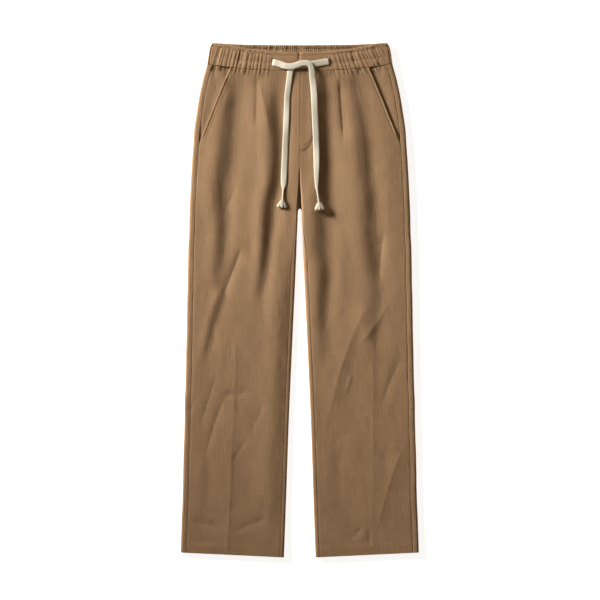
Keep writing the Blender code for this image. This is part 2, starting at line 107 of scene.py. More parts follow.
Outline = namedtuple("Outline", "y outer inner")
OUTLINE = rows_of(Outline, (
    (0.000, 0.2431, 0.0320),
    (0.117, 0.2397, 0.0277),
    (0.280, 0.2357, 0.0221),
    (0.444, 0.2315, 0.0148),
    (0.608, 0.2283, 0.0074),
    (0.708, 0.2254, 0.0036),
    (0.735, 0.2241, 0.0024),
    (0.772, 0.2222, -0.0004),
    (0.854, 0.2174, -0.0004),
    (0.935, 0.2070, -0.0004),
    (0.976, 0.1980, -0.0004),
    (1.005, 0.1898, -0.0004),
    (1.038, 0.1845, -0.0004),
    (1.050, 0.1793, -0.0004),
))

Waist = namedtuple("Waist", "x seam front_edge back_edge")
WAIST = rows_of(Waist, (
    (0.000, 0.9914, 1.0313, 1.0460),
    (0.056, 0.9925, 1.0330, 1.0462),
    (0.096, 0.9945, 1.0370, 1.0468),
    (0.139, 0.9985, 1.0445, 1.0482),
    (0.172, 1.0030, 1.0500, 1.0500),
    (0.190, 1.0050, 1.0500, 1.0500),
))

Level = namedtuple("Level", "y fold crown least")
LEVELS = rows_of(Level, (
    (0.000, 0.0062, 0.0066, 0.0058),
    (0.030, 0.0062, 0.0066, 0.0056),
    (0.075, 0.0060, 0.0062, 0.0036),
    (0.400, 0.0060, 0.0066, 0.0032),
    (0.600, 0.0060, 0.0072, 0.0030),
    (0.772, 0.0060, 0.0074, 0.0032),
    (0.850, 0.0062, 0.0074, 0.0038),
    (0.950, 0.0066, 0.0072, 0.0044),
    (1.050, 0.0070, 0.0072, 0.0062),
))
print("The leg opening is", round(1000 * (OUTLINE[0].outer - OUTLINE[0].inner)), "mm wide when flat")

# %% [markdown]
# ## Folds
#
# A fold is a line on the cloth with a height that dies away to both sides and at both ends.
# Three profiles cover what linen does. A `bump` is a soft round ridge, or a trough when its
# height is negative. A `wave` is a slope between a ridge on its west side and a trough on its
# east side, and it reads as a broad shade. A `crease` comes to a sharp line, like a pressed edge.
# Every row has its own length, height and reach, because real folds are never alike. Distances
# in this table are in millimetres.

# %% The table of folds
Fold = namedtuple("Fold", "form x0 y0 x1 y1 bow height west east head tail")
FOLDS = rows_of(Fold, (
    # the wearer's right leg
    ("crease", -82, 966, -58, 850, 1, 1.4, 30, 5, 0.12, 0.35),      # pleat
    ("crease", -88, 992, -90, 866, 1, -1.7, 5, 34, 0.15, 0.30),
    ("crease", -128, 760, -160, 694, 1, -1.0, 8, 6, 0.25, 0.35),
    ("crease", -118, 634, -156, 534, 1, -2.6, 12, 9, 0.25, 0.06),
    ("wave", -152, 552, -198, 375, -7, 1.0, 9, 10, 0.10, 0.35),
    ("crease", -166, 376, -204, 258, -3, -1.0, 7, 8, 0.25, 0.35),
    ("crease", -154, 326, -194, 196, -3, -1.3, 9, 8, 0.20, 0.35),
    ("crease", -70, 325, -104, 250, 2, -0.7, 6, 7, 0.25, 0.35),
    ("crease", -104, 250, -141, 190, 0, -0.7, 6, 8, 0.30, 0.25),
    ("bump", -166, 326, -100, 333, 4, -0.9, 5, 5, 0.30, 0.30),
    ("crease", -214, 318, -233, 289, 0, -0.8, 4, 5, 0.25, 0.25),
    ("crease", -130, 462, -140, 215, 2, 0.7, 16, 6, 0.20, 0.10),   # pressed crease
    ("crease", -139, 235, -149, 6, 2, 1.0, 15, 6, 0.10, 0.08),
    ("bump", -228, 77, -150, 56, 1, -1.2, 5, 5, 0.30, 0.30),
    ("bump", -140, 52, -60, 84, -2, -0.9, 5, 5, 0.30, 0.30),
    ("bump", -222, 36, -165, 30, 0, -0.7, 5, 5, 0.30, 0.30),
    ("wave", -193, 215, -196, 60, 0, 0.4, 10, 10, 0.30, 0.30),
    ("crease", -66, 140, -88, 60, 3, -0.5, 8, 8, 0.30, 0.30),
    ("bump", -214, 900, -218, 560, 0, 0.8, 12, 12, 0.25, 0.30),
    # the wearer's left leg
    ("crease", 81, 986, 91, 842, -1, -3.2, 5, 46, 0.24, 0.28),      # pleat
    ("crease", 174, 674, 164, 552, -4, -2.4, 20, 7, 0.30, 0.30),
    ("crease", 141, 524, 55, 268, -10, 1.9, 24, 17, 0.15, 0.35),
    ("crease", 181, 522, 118, 434, 6, 1.1, 10, 9, 0.20, 0.25),
    ("crease", 149, 448, 149, 185, 1, 0.8, 16, 10, 0.15, 0.15),    # pressed crease
    ("crease", 149, 205, 147, 6, 1, 0.6, 14, 9, 0.15, 0.10),
    ("crease", 209, 412, 164, 300, -2, -1.0, 8, 8, 0.20, 0.30),
    ("crease", 106, 375, 91, 330, 1, 0.7, 4, 5, 0.25, 0.30),
    ("crease", 211, 228, 155, 40, -5, 1.3, 19, 12, 0.15, 0.25),
    ("crease", 130, 63, 96, 34, 2, -1.1, 6, 7, 0.25, 0.30),
    ("crease", 141, 58, 144, 28, 0, -1.0, 5, 5, 0.25, 0.25),
    ("crease", 90, 258, 70, 232, -1, -0.5, 5, 6, 0.30, 0.30),
    ("wave", 74, 262, 66, 60, 2, 0.4, 14, 12, 0.30, 0.30),
    # small creases under the casing, on both sides
    ("crease", -156, 1010, -160, 985, 0, -1.4, 4, 5, 0.15, 0.50),
    ("crease", -143, 1012, -153, 974, 0, -1.6, 4, 5, 0.15, 0.50),
    ("crease", -170, 1012, -177, 972, 0, -1.6, 4, 5, 0.15, 0.50),
    ("crease", 121, 1008, 123, 984, 0, -1.2, 4, 5, 0.15, 0.50),
    ("crease", 145, 1010, 149, 982, 0, -1.3, 4, 5, 0.15, 0.50),
    ("crease", 162, 1012, 168, 978, 0, -1.2, 4, 5, 0.15, 0.50),
))
Long = namedtuple("Long", "y x height west east")
# waves that wander down the leg: the centre, height and reach at each height y
LONG_FOLDS = tuple(rows_of(Long, table) for table in (
    (    # the hollow beside the fly
        (740, 9, 0.0, 14, 14), (780, 8, 1.2, 15, 16), (830, 7, 1.8, 17, 18), (900, 6, 2.1, 17, 18),
        (960, 6, 1.8, 17, 17), (1005, 6, 0.0, 16, 16),
    ),
    (    # the wearer's right leg
        (540, -165, 0.0, 12, 12), (583, -166, 1.0, 13, 12), (633, -162, 1.8, 14, 12),
        (682, -158, 2.3, 17, 14), (731, -164, 2.9, 20, 18), (780, -158, 3.0, 21, 20),
        (829, -151, 3.0, 21, 20), (878, -147, 2.9, 21, 20), (927, -141, 2.6, 19, 20),
        (960, -136, 1.6, 17, 18), (992, -132, 0.0, 15, 16),
    ),
    (
        (505, -84, 0.0, 12, 9), (534, -82, 0.8, 12, 9), (583, -75, 1.7, 13, 10),
        (633, -70, 2.4, 13, 10), (682, -67, 2.8, 14, 12), (731, -62, 2.9, 15, 13),
        (780, -50, 3.0, 17, 13), (829, -48, 3.1, 18, 14), (878, -50, 3.1, 18, 14),
        (927, -52, 2.6, 17, 14), (960, -52, 1.2, 15, 14), (985, -52, 0.0, 14, 14),
    ),
    (
        (20, -47, 0.0, 18, 16), (100, -47, 0.9, 18, 16), (200, -42, 1.3, 19, 16),
        (300, -38, 1.6, 20, 16), (400, -34, 2.0, 20, 16), (500, -29, 2.0, 20, 16),
        (560, -27, 1.5, 18, 15), (620, -26, 0.0, 16, 14),
    ),
    (    # the wearer's left leg
        (385, 48, 0.0, 14, 12), (436, 49, 1.0, 15, 13), (485, 45, 1.9, 17, 13),
        (534, 48, 2.4, 18, 13), (583, 50, 2.9, 20, 14), (633, 43, 3.0, 22, 18),
        (700, 43, 3.1, 22, 18), (780, 47, 3.1, 19, 15), (878, 44, 3.1, 17, 15),
        (927, 40, 2.9, 16, 15), (976, 37, 1.9, 15, 13), (995, 36, 0.0, 14, 12),
    ),
    (
        (390, 151, 0.0, 14, 13), (436, 152, 0.9, 16, 13), (485, 151, 1.4, 17, 13),
        (534, 153, 1.6, 18, 14), (583, 152, 1.7, 20, 14), (633, 146, 2.2, 22, 15),
        (682, 143, 2.5, 23, 15), (731, 143, 2.7, 23, 14), (780, 137, 2.8, 22, 14),
        (829, 133, 2.8, 22, 14), (878, 127, 2.7, 20, 14), (927, 120, 2.3, 19, 14),
        (976, 110, 1.4, 17, 14), (1000, 106, 0.0, 16, 13),
    ),
))
BACK_FOLDS = rows_of(Fold, (
    ("bump", 120, 930, 132, 640, 4, 0.7, 12, 14, 0.30, 0.30),
    ("crease", 178, 620, 96, 420, 6, 0.8, 12, 9, 0.25, 0.30),
    ("crease", 96, 380, 64, 300, 2, 0.6, 9, 7, 0.25, 0.30),
    ("crease", 140, 470, 146, 40, 2, 0.6, 10, 9, 0.15, 0.15),
    ("crease", 200, 290, 160, 130, -3, 0.7, 12, 9, 0.20, 0.30),
    ("bump", 70, 860, 62, 700, 2, 0.6, 10, 12, 0.30, 0.30),
))
print(len(FOLDS), "folds on the front and", len(BACK_FOLDS), "on each back panel")


# %% [markdown]
# ## Reading the tables
#
# Between two rows of a table the value follows a smooth curve that never goes past a row's value,
# so an outline has no dents that nobody drew. Noise that is the same on each run comes from
# random numbers with a fixed seed, held on a lattice and blended in between.

# %% Helpers for curves and noise
def column(table, name, at):
    """One column of a table at the given places, on a smooth curve that never overshoots a row."""
    places = np.array([row[0] for row in table])
    values = np.array([getattr(row, name) for row in table])
    runs = np.diff(values) / np.diff(places)
    both = runs[:-1] * runs[1:]
    inside = np.where(both > 0, 2 * both / np.where(both > 0, runs[:-1] + runs[1:], 1.0), 0.0)
    slopes = np.concatenate((runs[:1], inside, runs[-1:]))
    at = np.clip(at, places[0], places[-1])
    i = np.clip(np.searchsorted(places, at) - 1, 0, len(places) - 2)
    step = places[i + 1] - places[i]
    t = (at - places[i]) / step
    rise = t * t * (3 - 2 * t)
    ends = values[i] * (1 - rise) + values[i + 1] * rise
    return ends + step * t * (1 - t) * (slopes[i] * (1 - t) - slopes[i + 1] * t)


def smooth(value, low, high):
    """0 at low, 1 at high, with a soft start and end."""
    t = np.clip((value - low) / (high - low), 0.0, 1.0)
    return t * t * (3 - 2 * t)


def hump(value, reach):
    """A round hump: 1 where the value is 0, dying away over the reach."""
    return np.exp(-0.5 * (value / reach) ** 2)


def lattice(u, v, seed):
    """Smooth noise from -1 to 1: a random value at each whole (u, v), blended in between."""
    table = np.random.default_rng(seed).uniform(-1, 1, (97, 89))
    i, j = np.floor(u).astype(int), np.floor(v).astype(int)
    fu, fv = smooth(u - i, 0, 1), smooth(v - j, 0, 1)
    a, b = table[i % 97, j % 89], table[(i + 1) % 97, j % 89]
    c, d = table[i % 97, (j + 1) % 89], table[(i + 1) % 97, (j + 1) % 89]
    return (a * (1 - fu) + b * fu) * (1 - fv) + (c * (1 - fu) + d * fu) * fv


def gathers(x, y, low, high, seed):
    """Ridges from 0 to 1 of uneven pitch, which fan out downwards from the middle.

    The pitch of each gather is a random size from low to high, and its height is random too.
    """
    rng = np.random.default_rng(seed)
    edges = np.cumsum(rng.uniform(low, high, 400))
    tall = rng.uniform(0.45, 1.0, 401)
    spread = np.where(x > 0, 3.5, 1.8)
    along = np.abs(x) * (1 - spread * (FRONT_SEAM + 0.020 - y)) + np.where(x > 0, 0.0, 0.3)
    phase = np.interp(along, edges, np.arange(400.0))
    ridge = np.abs(np.sin(math.pi * phase)) ** 0.8
    return ridge * tall[np.floor(phase).astype(int)]


print("Noise at one place is always", round(float(lattice(np.array(1.5), np.array(2.5), 1)), 3))

# %% [markdown]
# ## The height of the front
#
# The front of a leg has a low crown. Folds, ripples and the puckers below the casing add to it,
# and it can never sink into the layers underneath: where the sum would be too low, a soft maximum
# keeps it at the least height that the table allows.

# %% The front's surface
SHARP = 0.8             # roundness of a sharp crease, in millimetres
SOFTNESS = 0.0012       # of the maximum that keeps the cloth apart, in metres


def across_fold(fold, x, y):
    """How far a place lies east of a fold's line, and how far along it, from 0 to 1."""
    length = math.hypot(fold.x1 - fold.x0, fold.y1 - fold.y0)
    dx, dy = (fold.x1 - fold.x0) / length, (fold.y1 - fold.y0) / length
    t = ((x - fold.x0) * dx + (y - fold.y0) * dy) / length
    return (y - fold.y0) * dx - (x - fold.x0) * dy - fold.bow * 4 * t * (1 - t), t


def wave(side, height, west, east):
    """A ridge at west, a trough at east and an even slope between them."""
    steep = 2 * height / (west + east)
    return -steep * side * np.exp(0.5 - 0.5 * (side / np.where(side < 0, west, east)) ** 2)


def long_folds(x, y):
    """Height of the waves that wander down the legs, at places given in metres."""
    x, y = np.broadcast_arrays(1000 * x, 1000 * y)
    total = np.zeros(x.shape)
    for rows in LONG_FOLDS:
        centre, height, west, east = (column(rows, name, y) for name in Long._fields[1:])
        total += wave(x - centre, height, west, east)
    return total / 1000


def folds(x, y, table=FOLDS):
    """Height that all folds of a table add at places given in metres."""
    x, y = np.broadcast_arrays(1000 * x, 1000 * y)
    total = np.zeros(x.shape)
    for fold in table:
        side, t = across_fold(fold, x, y)
        reach = np.where(side < 0, fold.west, fold.east)
        if fold.form == "wave":
            shape = wave(side, fold.height, fold.west, fold.east)
        elif fold.form == "crease":
            far = np.sqrt(side ** 2 + SHARP ** 2) - SHARP
            shape = fold.height * np.exp(-far / reach)
        else:
            shape = fold.height * hump(side, reach)
        total += shape * smooth(t, 0, fold.head) * smooth(1 - t, 0, fold.tail)
    return total / 1000


def ripples(x, y):
    """The small unevenness of washed linen: long faint waves with smaller ones on them."""
    wide = 0.00034 * lattice(x / 0.026, y / 0.062, 11)
    fine = 0.00018 * lattice(x / 0.011 + 0.25 * y / 0.023, y / 0.023, 12)
    return wide + fine


def puckers(x, y):
    """The gathers of the casing run out in the panel, within 12 to 25 mm below the seam."""
    seam = column(WAIST, "seam", np.abs(x))
    length = 0.018 + 0.007 * lattice(x / 0.012, 0 * x + 0.5, 13)
    fade = smooth(y, seam - length, seam) * smooth(np.abs(x), 0.050, 0.070)
    return PUCKER * fade * (gathers(x, y, 0.0050, 0.0110, 21) - 0.5)


def front_height(x, y):
    """Top of the front panels: crown, folds, ripples and puckers, kept above the layers below."""
    least = column(LEVELS, "least", y)
    relief = long_folds(x, y) + folds(x, y) + ripples(x, y) + puckers(x, y)
    seam = column(WAIST, "seam", np.abs(x))
    tucked = TUCK * smooth(y, seam - 0.010, seam - 0.001)         # drawn up under the casing
    spare = column(LEVELS, "crown", y) + relief + tucked - least
    return least + 0.5 * (spare + np.sqrt(spare ** 2 + SOFTNESS ** 2))


# %% [markdown]
# ## A leg as a flattened tube
#
# A place on one ring of the leg is a distance `g` round the cloth. It starts at the inner fold,
# runs over the top to the outer fold, and comes back along the underside. Both folds are half
# circles, so the cloth bends round them without a sharp edge. The front and back panels are
# stretches of the same ring, which makes them meet exactly at the seams.

# %% Rings of the leg
SEAM_WIDE = 0.0016      # half width of the groove at a stitched seam
SIDE_DENT, INSEAM_DENT, HEM_DENT = 0.00028, 0.00022, 0.00040
SEAM_RISE = 0.00012     # the seam allowance lifts the cloth beside the seam
HEM_RISE = 0.00030      # and the turned-up hem lifts it below its stitches


def pocket_mouth(y):
    """Distance of the slanted pocket mouth from the centre, at a height above the hem."""
    return 0.2000 - 0.41 * (y - POCKET_FOOT)


class Leg:
    """Rings of one leg at heights y, a column of numbers."""

    def __init__(self, side, y):
        self.side, self.y = side, y
        self.near_waist = smooth(y, FRONT_SEAM - 0.120, FRONT_SEAM)
        self.near_hem = 1 - smooth(y, 0.0, 0.150)
        edge_y = y + self.near_waist * (BACK_SEAM - FRONT_SEAM) + self.near_hem * HEM_SLANT
        self.outer = column(OUTLINE, "outer", edge_y) + 0.0005 * lattice(y / 0.035, 0 * y, 31)
        self.inner = column(OUTLINE, "inner", y)
        self.middle = 0.5 * column(LEVELS, "fold", y)
        self.quarter = self.middle * math.pi / 2
        self.width = self.outer - self.inner + (math.pi - 2) * self.middle
        self.parted = 1 - smooth(y, BACK_CROTCH, BACK_CROTCH + CROTCH_STEP)
        self.dipped = 1 - smooth(y, FRONT_CROTCH, VALLEY_TOP)
        self.inseam = INSEAM * (1 - smooth(y, SEAM_ON_TOP, BACK_CROTCH))

    def point(self, g, depth=0.0):
        """The place at distance g, set in by a depth from the outside of the cloth."""
        top = g < self.width
        along = np.where(top, g, 2 * self.width - g)
        on_top = top | (along < 0)                  # past the inner fold it is on top again
        along = np.abs(along)
        inner_half = along < self.width / 2
        near = np.where(inner_half, along, self.width - along)
        angle = np.minimum(near / self.middle, math.pi / 2)
        flat = np.maximum(near - self.quarter, 0.0)
        reach = depth + (self.middle - depth) * (1 - np.cos(angle)) + flat
        lift = np.sin(angle)
        x = np.where(inner_half, self.inner + reach, self.outer - reach)
        flat_back = inner_half & ~on_top            # above the crotch the back is one flat sheet
        x = np.where(flat_back, (along - BACK_OVERLAP) * (1 - self.parted) + x * self.parted, x)
        y = self.y + self.slant(x, on_top)
        height = front_height(self.side * x, y) + self.seam_dents(g) - depth
        top_lift = np.where(inner_half, 1 - self.dipped * (1 - lift), lift)
        low_lift = np.where(inner_half, 1 - self.parted * (1 - lift), lift)
        under = np.maximum(folds(x, y, BACK_FOLDS), 0) + 0.0002 * (1 + lattice(x / 0.03, y / 0.05, 14))
        z = np.where(on_top, self.middle + top_lift * (height - self.middle),
                     self.middle - low_lift * (self.middle - depth - under * smooth(flat, 0, 0.02)))
        return x, y, z

    def slant(self, x, on_top):
        """How far the hem's slant and the casing seam's curve raise a place."""
        hem = HEM_SLANT * np.clip((x - self.inner) / (self.outer - self.inner), 0, 1)
        rise = np.where(on_top, column(WAIST, "seam", x), BACK_SEAM) - FRONT_SEAM
        return self.near_hem * hem + self.near_waist * rise

    def seam_dents(self, g):
        """The cloth sinks at a stitched seam and stands up beside it, over the seam allowance."""
        side, inner = g - (self.width - SIDE_SEAM), g - self.inseam
        low = self.inseam / INSEAM                  # the inseam shows only where it is on top
        dent = -SIDE_DENT * hump(side, SEAM_WIDE)
        dent += SEAM_RISE * hump(side - 0.0055, 0.0030)
        dent -= INSEAM_DENT * low * hump(inner, SEAM_WIDE)
        dent += SEAM_RISE * low * hump(inner + 0.0050, 0.0028)
        hem = self.y - HEM_DEPTH
        dent -= HEM_DENT * hump(hem, 0.0011)
        dent += HEM_RISE * smooth(-hem, 0.001, 0.006)
        return dent

    def front_ends(self):
        """Where the front panel begins and ends: at the inseam, and at the side seam or pocket."""
        ease = SEAM_EASE * smooth(self.y, SEAM_ON_TOP, BACK_CROTCH)
        mouth = pocket_mouth(self.y + 0.008 * self.near_waist)
        at_mouth = mouth - self.inner + (math.pi / 2 - 1) * self.middle
        return self.inseam + GAP / 2 + ease, np.minimum(self.width - SIDE_SEAM, at_mouth) - GAP / 2

    def back_ends(self):
        return self.width - SIDE_SEAM + GAP / 2, 2 * self.width + self.inseam - GAP / 2


# %% [markdown]
# ## From a surface to cloth with a wall
#
# The formula gives the outside of the cloth as a grid of points. `shell` moves half a wall
# inwards to the middle of the cloth, and puts a point on each side of it. At the border the two
# sides draw together on a quarter circle and share one point, so every piece is closed, with
# softly rounded edges. The distance to the border comes from how the grid was spaced, and that is
# why `edged` squeezes a few extra lines close to both ends.

# %% Grids, shells and other meshes
EDGE = np.array([0.0, 0.15, 0.40, 0.80, 1.30]) / 1000      # lines this far from a border


def edged(start, end, count, edge=EDGE):
    """Places from start to end: evenly spaced, with extra lines close to both ends."""
    t = np.linspace(0, 1, count)
    inner = start + edge[-1] + t * (end - start - 2 * edge[-1])
    return np.concatenate((start + edge[:-1], inner, end - edge[-2::-1]), axis=-1)


def make_mesh(name, points, quads, uv, material, extra=()):
    """A smooth object from points, four-sided faces, and a flat place in metres for each point."""
    mesh = bpy.data.meshes.new(name)
    mesh.from_pydata(points.tolist(), [], quads.tolist() + [list(face) for face in extra])
    layer = mesh.uv_layers.new(name="cloth")
    corners = np.concatenate([quads.ravel()] + [np.array(face) for face in extra]).astype(int)
    layer.data.foreach_set("uv", uv[corners].ravel())
    mesh.shade_smooth()
    mesh.materials.append(material)
    thing = bpy.data.objects.new(name, mesh)
    bpy.context.scene.collection.objects.link(thing)
    return thing


def normals(surface, ring=False):
    """Unit normals of a grid of points, from its slopes along the rows and the columns."""
    if ring:
        wrapped = np.concatenate((surface[:, -2:-1], surface, surface[:, 1:2]), axis=1)
        along = np.gradient(wrapped, axis=1)[:, 1:-1]
    else:
        along = np.gradient(surface, axis=1)
    up = np.gradient(surface, axis=0)
    cross = np.cross(along, up)
    return cross / np.maximum(np.linalg.norm(cross, axis=-1, keepdims=True), 1e-12)


def shell(name, surface, near, wall, uv, material, mirrored=False, out=0.0, inward=0.0):
    """A closed sheet of cloth whose outside is a grid of points.

    near is the distance of each point to the border, and uv its place on the flat cloth. out and
    inward are reliefs that only one of the two sides has.
    """
    tall, wide = surface.shape[:2]
    facing = normals(surface) * (-1 if mirrored else 1)
    full = np.sqrt(1 - (1 - np.minimum(near / (wall / 2), 1)) ** 2)[..., None]
    centre = surface - facing * wall / 2
    outside = centre + facing * full * (wall / 2 + np.broadcast_to(out, (tall, wide))[..., None])
    inside = centre - facing * full * (wall / 2 + np.broadcast_to(inward, (tall, wide))[..., None])
    first = np.arange(tall * wide).reshape(tall, wide)
    second = first.copy()
    second[1:-1, 1:-1] = tall * wide + np.arange((tall - 2) * (wide - 2)).reshape(tall - 2, -1)
    front = np.stack((first[:-1, :-1], first[:-1, 1:], first[1:, 1:], first[1:, :-1]), axis=-1)
    back = np.stack((second[:-1, :-1], second[1:, :-1], second[1:, 1:], second[:-1, 1:]), axis=-1)
    quads = np.concatenate((front.reshape(-1, 4), back.reshape(-1, 4)))
    if mirrored:
        quads = quads[:, ::-1]
    points = np.concatenate((outside.reshape(-1, 3), inside[1:-1, 1:-1].reshape(-1, 3)))
    flat = np.concatenate((uv.reshape(-1, 2), uv[1:-1, 1:-1].reshape(-1, 2)))
    points[:, 1] -= OUTSEAM / 2
    return make_mesh(name, points, quads, flat, material)


def from_border(start, end, at):
    return np.minimum(at - start, end - at)


def border(start, end, g, y):
    """Distance of each place of a grid to the nearest of its four borders."""
    return np.minimum(from_border(start, end, g), from_border(y[0], y[-1], y))


def flat_place(g, y):
    """The place on the flat cloth, in metres across and up."""
    return np.stack(np.broadcast_arrays(g, y), axis=-1)


def tubes(centres, across, up, wide, high, sides, power=1.0):
    """Points of many tubes at once: centres is (tube, ring, 3), and wide and high (tube, ring)."""
    turn = np.arange(sides) * 2 * math.pi / sides
    a = np.sign(np.cos(turn)) * np.abs(np.cos(turn)) ** power
    b = np.sin(turn)
    return (centres[:, :, None, :] + across[:, :, None, :] * (wide[..., None] * a / 2)[..., None]
            + up[:, :, None, :] * (high[..., None] * b / 2)[..., None])


def tube_quads(count, rings, sides):
    """Faces that join each ring of each tube to the next, with the same turn for all."""
    at = np.arange(count * rings * sides).reshape(count, rings, sides)
    on = np.roll(at, -1, axis=2)
    quads = np.stack((at[:, :-1], on[:, :-1], on[:, 1:], at[:, 1:]), axis=-1).reshape(-1, 4)
    caps = [face for tube in at for face in (tube[0][::-1].tolist(), tube[-1].tolist())]
    return quads, caps


# %% [markdown]
# ## Materials
#
# Linen yarn is uneven: here and there a thread is thicker, which draws faint streaks along and
# across the cloth. The colour and the bump both come from streaks like that, on flat cloth
# coordinates in metres, so they follow each piece. The thread pattern itself is drawn about one
# millimetre wide, because finer threads would only turn to grain. The drawstring is a flat
# cotton tape with slanted ribs that meet along its middle.

# %% Colours and materials
def colour(code):
    """A colour such as 'c8a078' as linear red, green, blue and alpha."""
    levels = [int(code[i:i + 2], 16) / 255 for i in (0, 2, 4)]
    return (*[v / 12.92 if v <= 0.04045 else ((v + 0.055) / 1.055) ** 2.4 for v in levels], 1.0)


def add(tree, kind, sockets=None, **settings):
    """Add one node. A socket gets a value, or a link when the value is another node's output."""
    node = tree.nodes.new(kind)
    for key, value in settings.items():
        setattr(node, key, value)
    for key, value in (sockets or {}).items():
        if isinstance(value, bpy.types.NodeSocket):
            tree.links.new(value, node.inputs[key])
        else:
            node.inputs[key].default_value = value
    return node


def streaks(tree, place, wide, long, detail=2.0):
    """Noise stretched along the cloth: blobs of the two sizes, in metres. Its middle is 0.5."""
    scale = (1 / wide, 1 / long, 1.0)
    at = add(tree, "ShaderNodeMapping", {"Vector": place, "Scale": scale})
    noise = add(tree, "ShaderNodeTexNoise",
                {"Vector": at.outputs[0], "Scale": 1.0, "Detail": detail, "Roughness": 0.55})
    return noise.outputs[0]


def maths(tree, kind, a, b=0.0, c=0.0):
    return add(tree, "ShaderNodeMath", {0: a, 1: b, 2: c}, operation=kind).outputs[0]


def cloth_material(name, base, pattern, contrast, roughness, sheen, depth):
    """A woven material: a pattern from 0 to 1 shades the base colour and gives the bump."""
    material = bpy.data.materials.new(name)
    material.use_nodes = True
    tree = material.node_tree
    shader = tree.nodes["Principled BSDF"]
    place = add(tree, "ShaderNodeUVMap", uv_map="cloth").outputs[0]
    shade, height = pattern(tree, place)
    level = maths(tree, "MULTIPLY_ADD", shade, contrast, 1 - contrast / 2)
    tint = add(tree, "ShaderNodeVectorMath", {0: colour(base)[:3]}, operation="SCALE")
    tree.links.new(level, tint.inputs["Scale"])
    tree.links.new(tint.outputs[0], shader.inputs["Base Color"])
    bump = add(tree, "ShaderNodeBump", {"Height": height, "Distance": depth, "Strength": 1.0})
    tree.links.new(bump.outputs[0], shader.inputs["Normal"])
    shader.inputs["Roughness"].default_value = roughness
    shader.inputs["Specular IOR Level"].default_value = 0.2
    shader.inputs["Sheen Weight"].default_value = sheen
    shader.inputs["Sheen Roughness"].default_value = 0.5
    return material


def linen(tree, place):
    """Slubs along and across, soft cloudy patches, and a plain weave one millimetre wide."""
    warp = streaks(tree, place, 0.0026, 0.040)
    weft = streaks(tree, place, 0.032, 0.0024)
    cloud = streaks(tree, place, 0.045, 0.060, 3.0)
    both = maths(tree, "ADD", warp, weft)
    shade = maths(tree, "MULTIPLY_ADD", both, 0.36, 0.0)
    shade = maths(tree, "MULTIPLY_ADD", cloud, 0.28, shade)
    axes = add(tree, "ShaderNodeSeparateXYZ", {0: place})
    thread = 2 * math.pi / 0.0011
    over = maths(tree, "SINE", maths(tree, "MULTIPLY", axes.outputs[0], thread))
    under = maths(tree, "SINE", maths(tree, "MULTIPLY", axes.outputs[1], thread))
    weave = maths(tree, "MULTIPLY", over, under)
    height = maths(tree, "MULTIPLY_ADD", weave, 0.25, both)
    return shade, height


def ribbed_tape(tree, place):
    """Slanted ribs that meet along the tape's middle, with a little unevenness."""
    axes = add(tree, "ShaderNodeSeparateXYZ", {0: place})
    slope = maths(tree, "ABSOLUTE", axes.outputs[0])
    along = maths(tree, "MULTIPLY_ADD", slope, 0.9, axes.outputs[1])
    ribs = maths(tree, "SINE", maths(tree, "MULTIPLY", along, 2 * math.pi / 0.0021))
    uneven = streaks(tree, place, 0.004, 0.006)
    height = maths(tree, "MULTIPLY_ADD", ribs, 0.30, uneven)
    return height, height


def yarn(tree, place):
    """Twisted thread: ribs across its length."""
    axes = add(tree, "ShaderNodeSeparateXYZ", {0: place})
    ribs = maths(tree, "SINE", maths(tree, "MULTIPLY", axes.outputs[1], 2 * math.pi / 0.0009))
    return maths(tree, "MULTIPLY_ADD", ribs, 0.4, 0.5), ribs


LINEN = cloth_material("washed linen, toast", "9c7a58", linen, 0.75, 0.88, 0.05, 0.00040)
LINEN_INSIDE = cloth_material("washed linen, inside", "957453", linen, 0.75, 0.90, 0.05, 0.00040)
THREAD = cloth_material("linen sewing thread", "8f7050", yarn, 0.20, 0.75, 0.0, 0.00008)
COTTON = cloth_material("cotton tape, natural", "d6cbb4", ribbed_tape, 0.16, 0.82, 0.15, 0.00018)
FRAYED = cloth_material("frayed cotton, natural", "d2c5ab", yarn, 0.22, 0.88, 0.10, 0.00008)
print("Made", len(bpy.data.materials), "materials")

# %% [markdown]
# ## Leg panels
#
# The front panel runs from the inseam to the side seam, and is cut away along the slanted pocket
# mouth. The back panel is the rest of the ring. Its 14 mm that turn up over the outer fold show
# from the front as the strip outside the side seam.

# %% Front and back panels
ROWS = edged(np.array([0.0]), np.array([FRONT_SEAM + GAP]), 268)[:, None]


def panel(kind, side, count):
    leg = Leg(side, ROWS)
    start, end = leg.front_ends() if kind == "front" else leg.back_ends()
    g = edged(start, end, count)
    x, y, z = leg.point(g)
    if kind == "front":                             # the pocket's edge stands a little proud
        pocket = smooth(ROWS, POCKET_FOOT - 0.002, POCKET_FOOT + 0.010)
        z += POCKET_PROUD * pocket * smooth(g, end - 0.004, end - 0.0012)
        if side == RIGHT:                           # and the centre seam is level with the fly
            by_fly = smooth(ROWS, PLACKET_FOOT - 0.01, PLACKET_FOOT + 0.01)
            z += FLY_LEVEL * by_fly * smooth(-x, -0.007, 0)
    piece = shell(f"{kind}_cloth_{NAMES[side]}", np.stack((side * x, y, z), axis=-1),
                  border(start, end, g, ROWS), CLOTH, flat_place(g, ROWS), LINEN, side == RIGHT)
    area = float(np.mean(end - start)) * (FRONT_SEAM - GAP)
    print(piece.name, "is", round(1000 * float(np.max(end - start))), "mm wide at most; flat area",
          round(area, 3), "square metres")
    return piece


fronts = {side: panel("front", side, 132) for side in (LEFT, RIGHT)}
backs = {side: panel("back", side, 96) for side in (LEFT, RIGHT)}


# %% [markdown]
# ## Hems, pocket facings and fly
#
# The hem is a ring turned up inside the leg opening, so only its edge shows from below. A pocket
# facing lies under the front panel and rises to the side seam. The fly is a second layer on the
# left front, with a soft edge and a curved row of stitches that we add later.

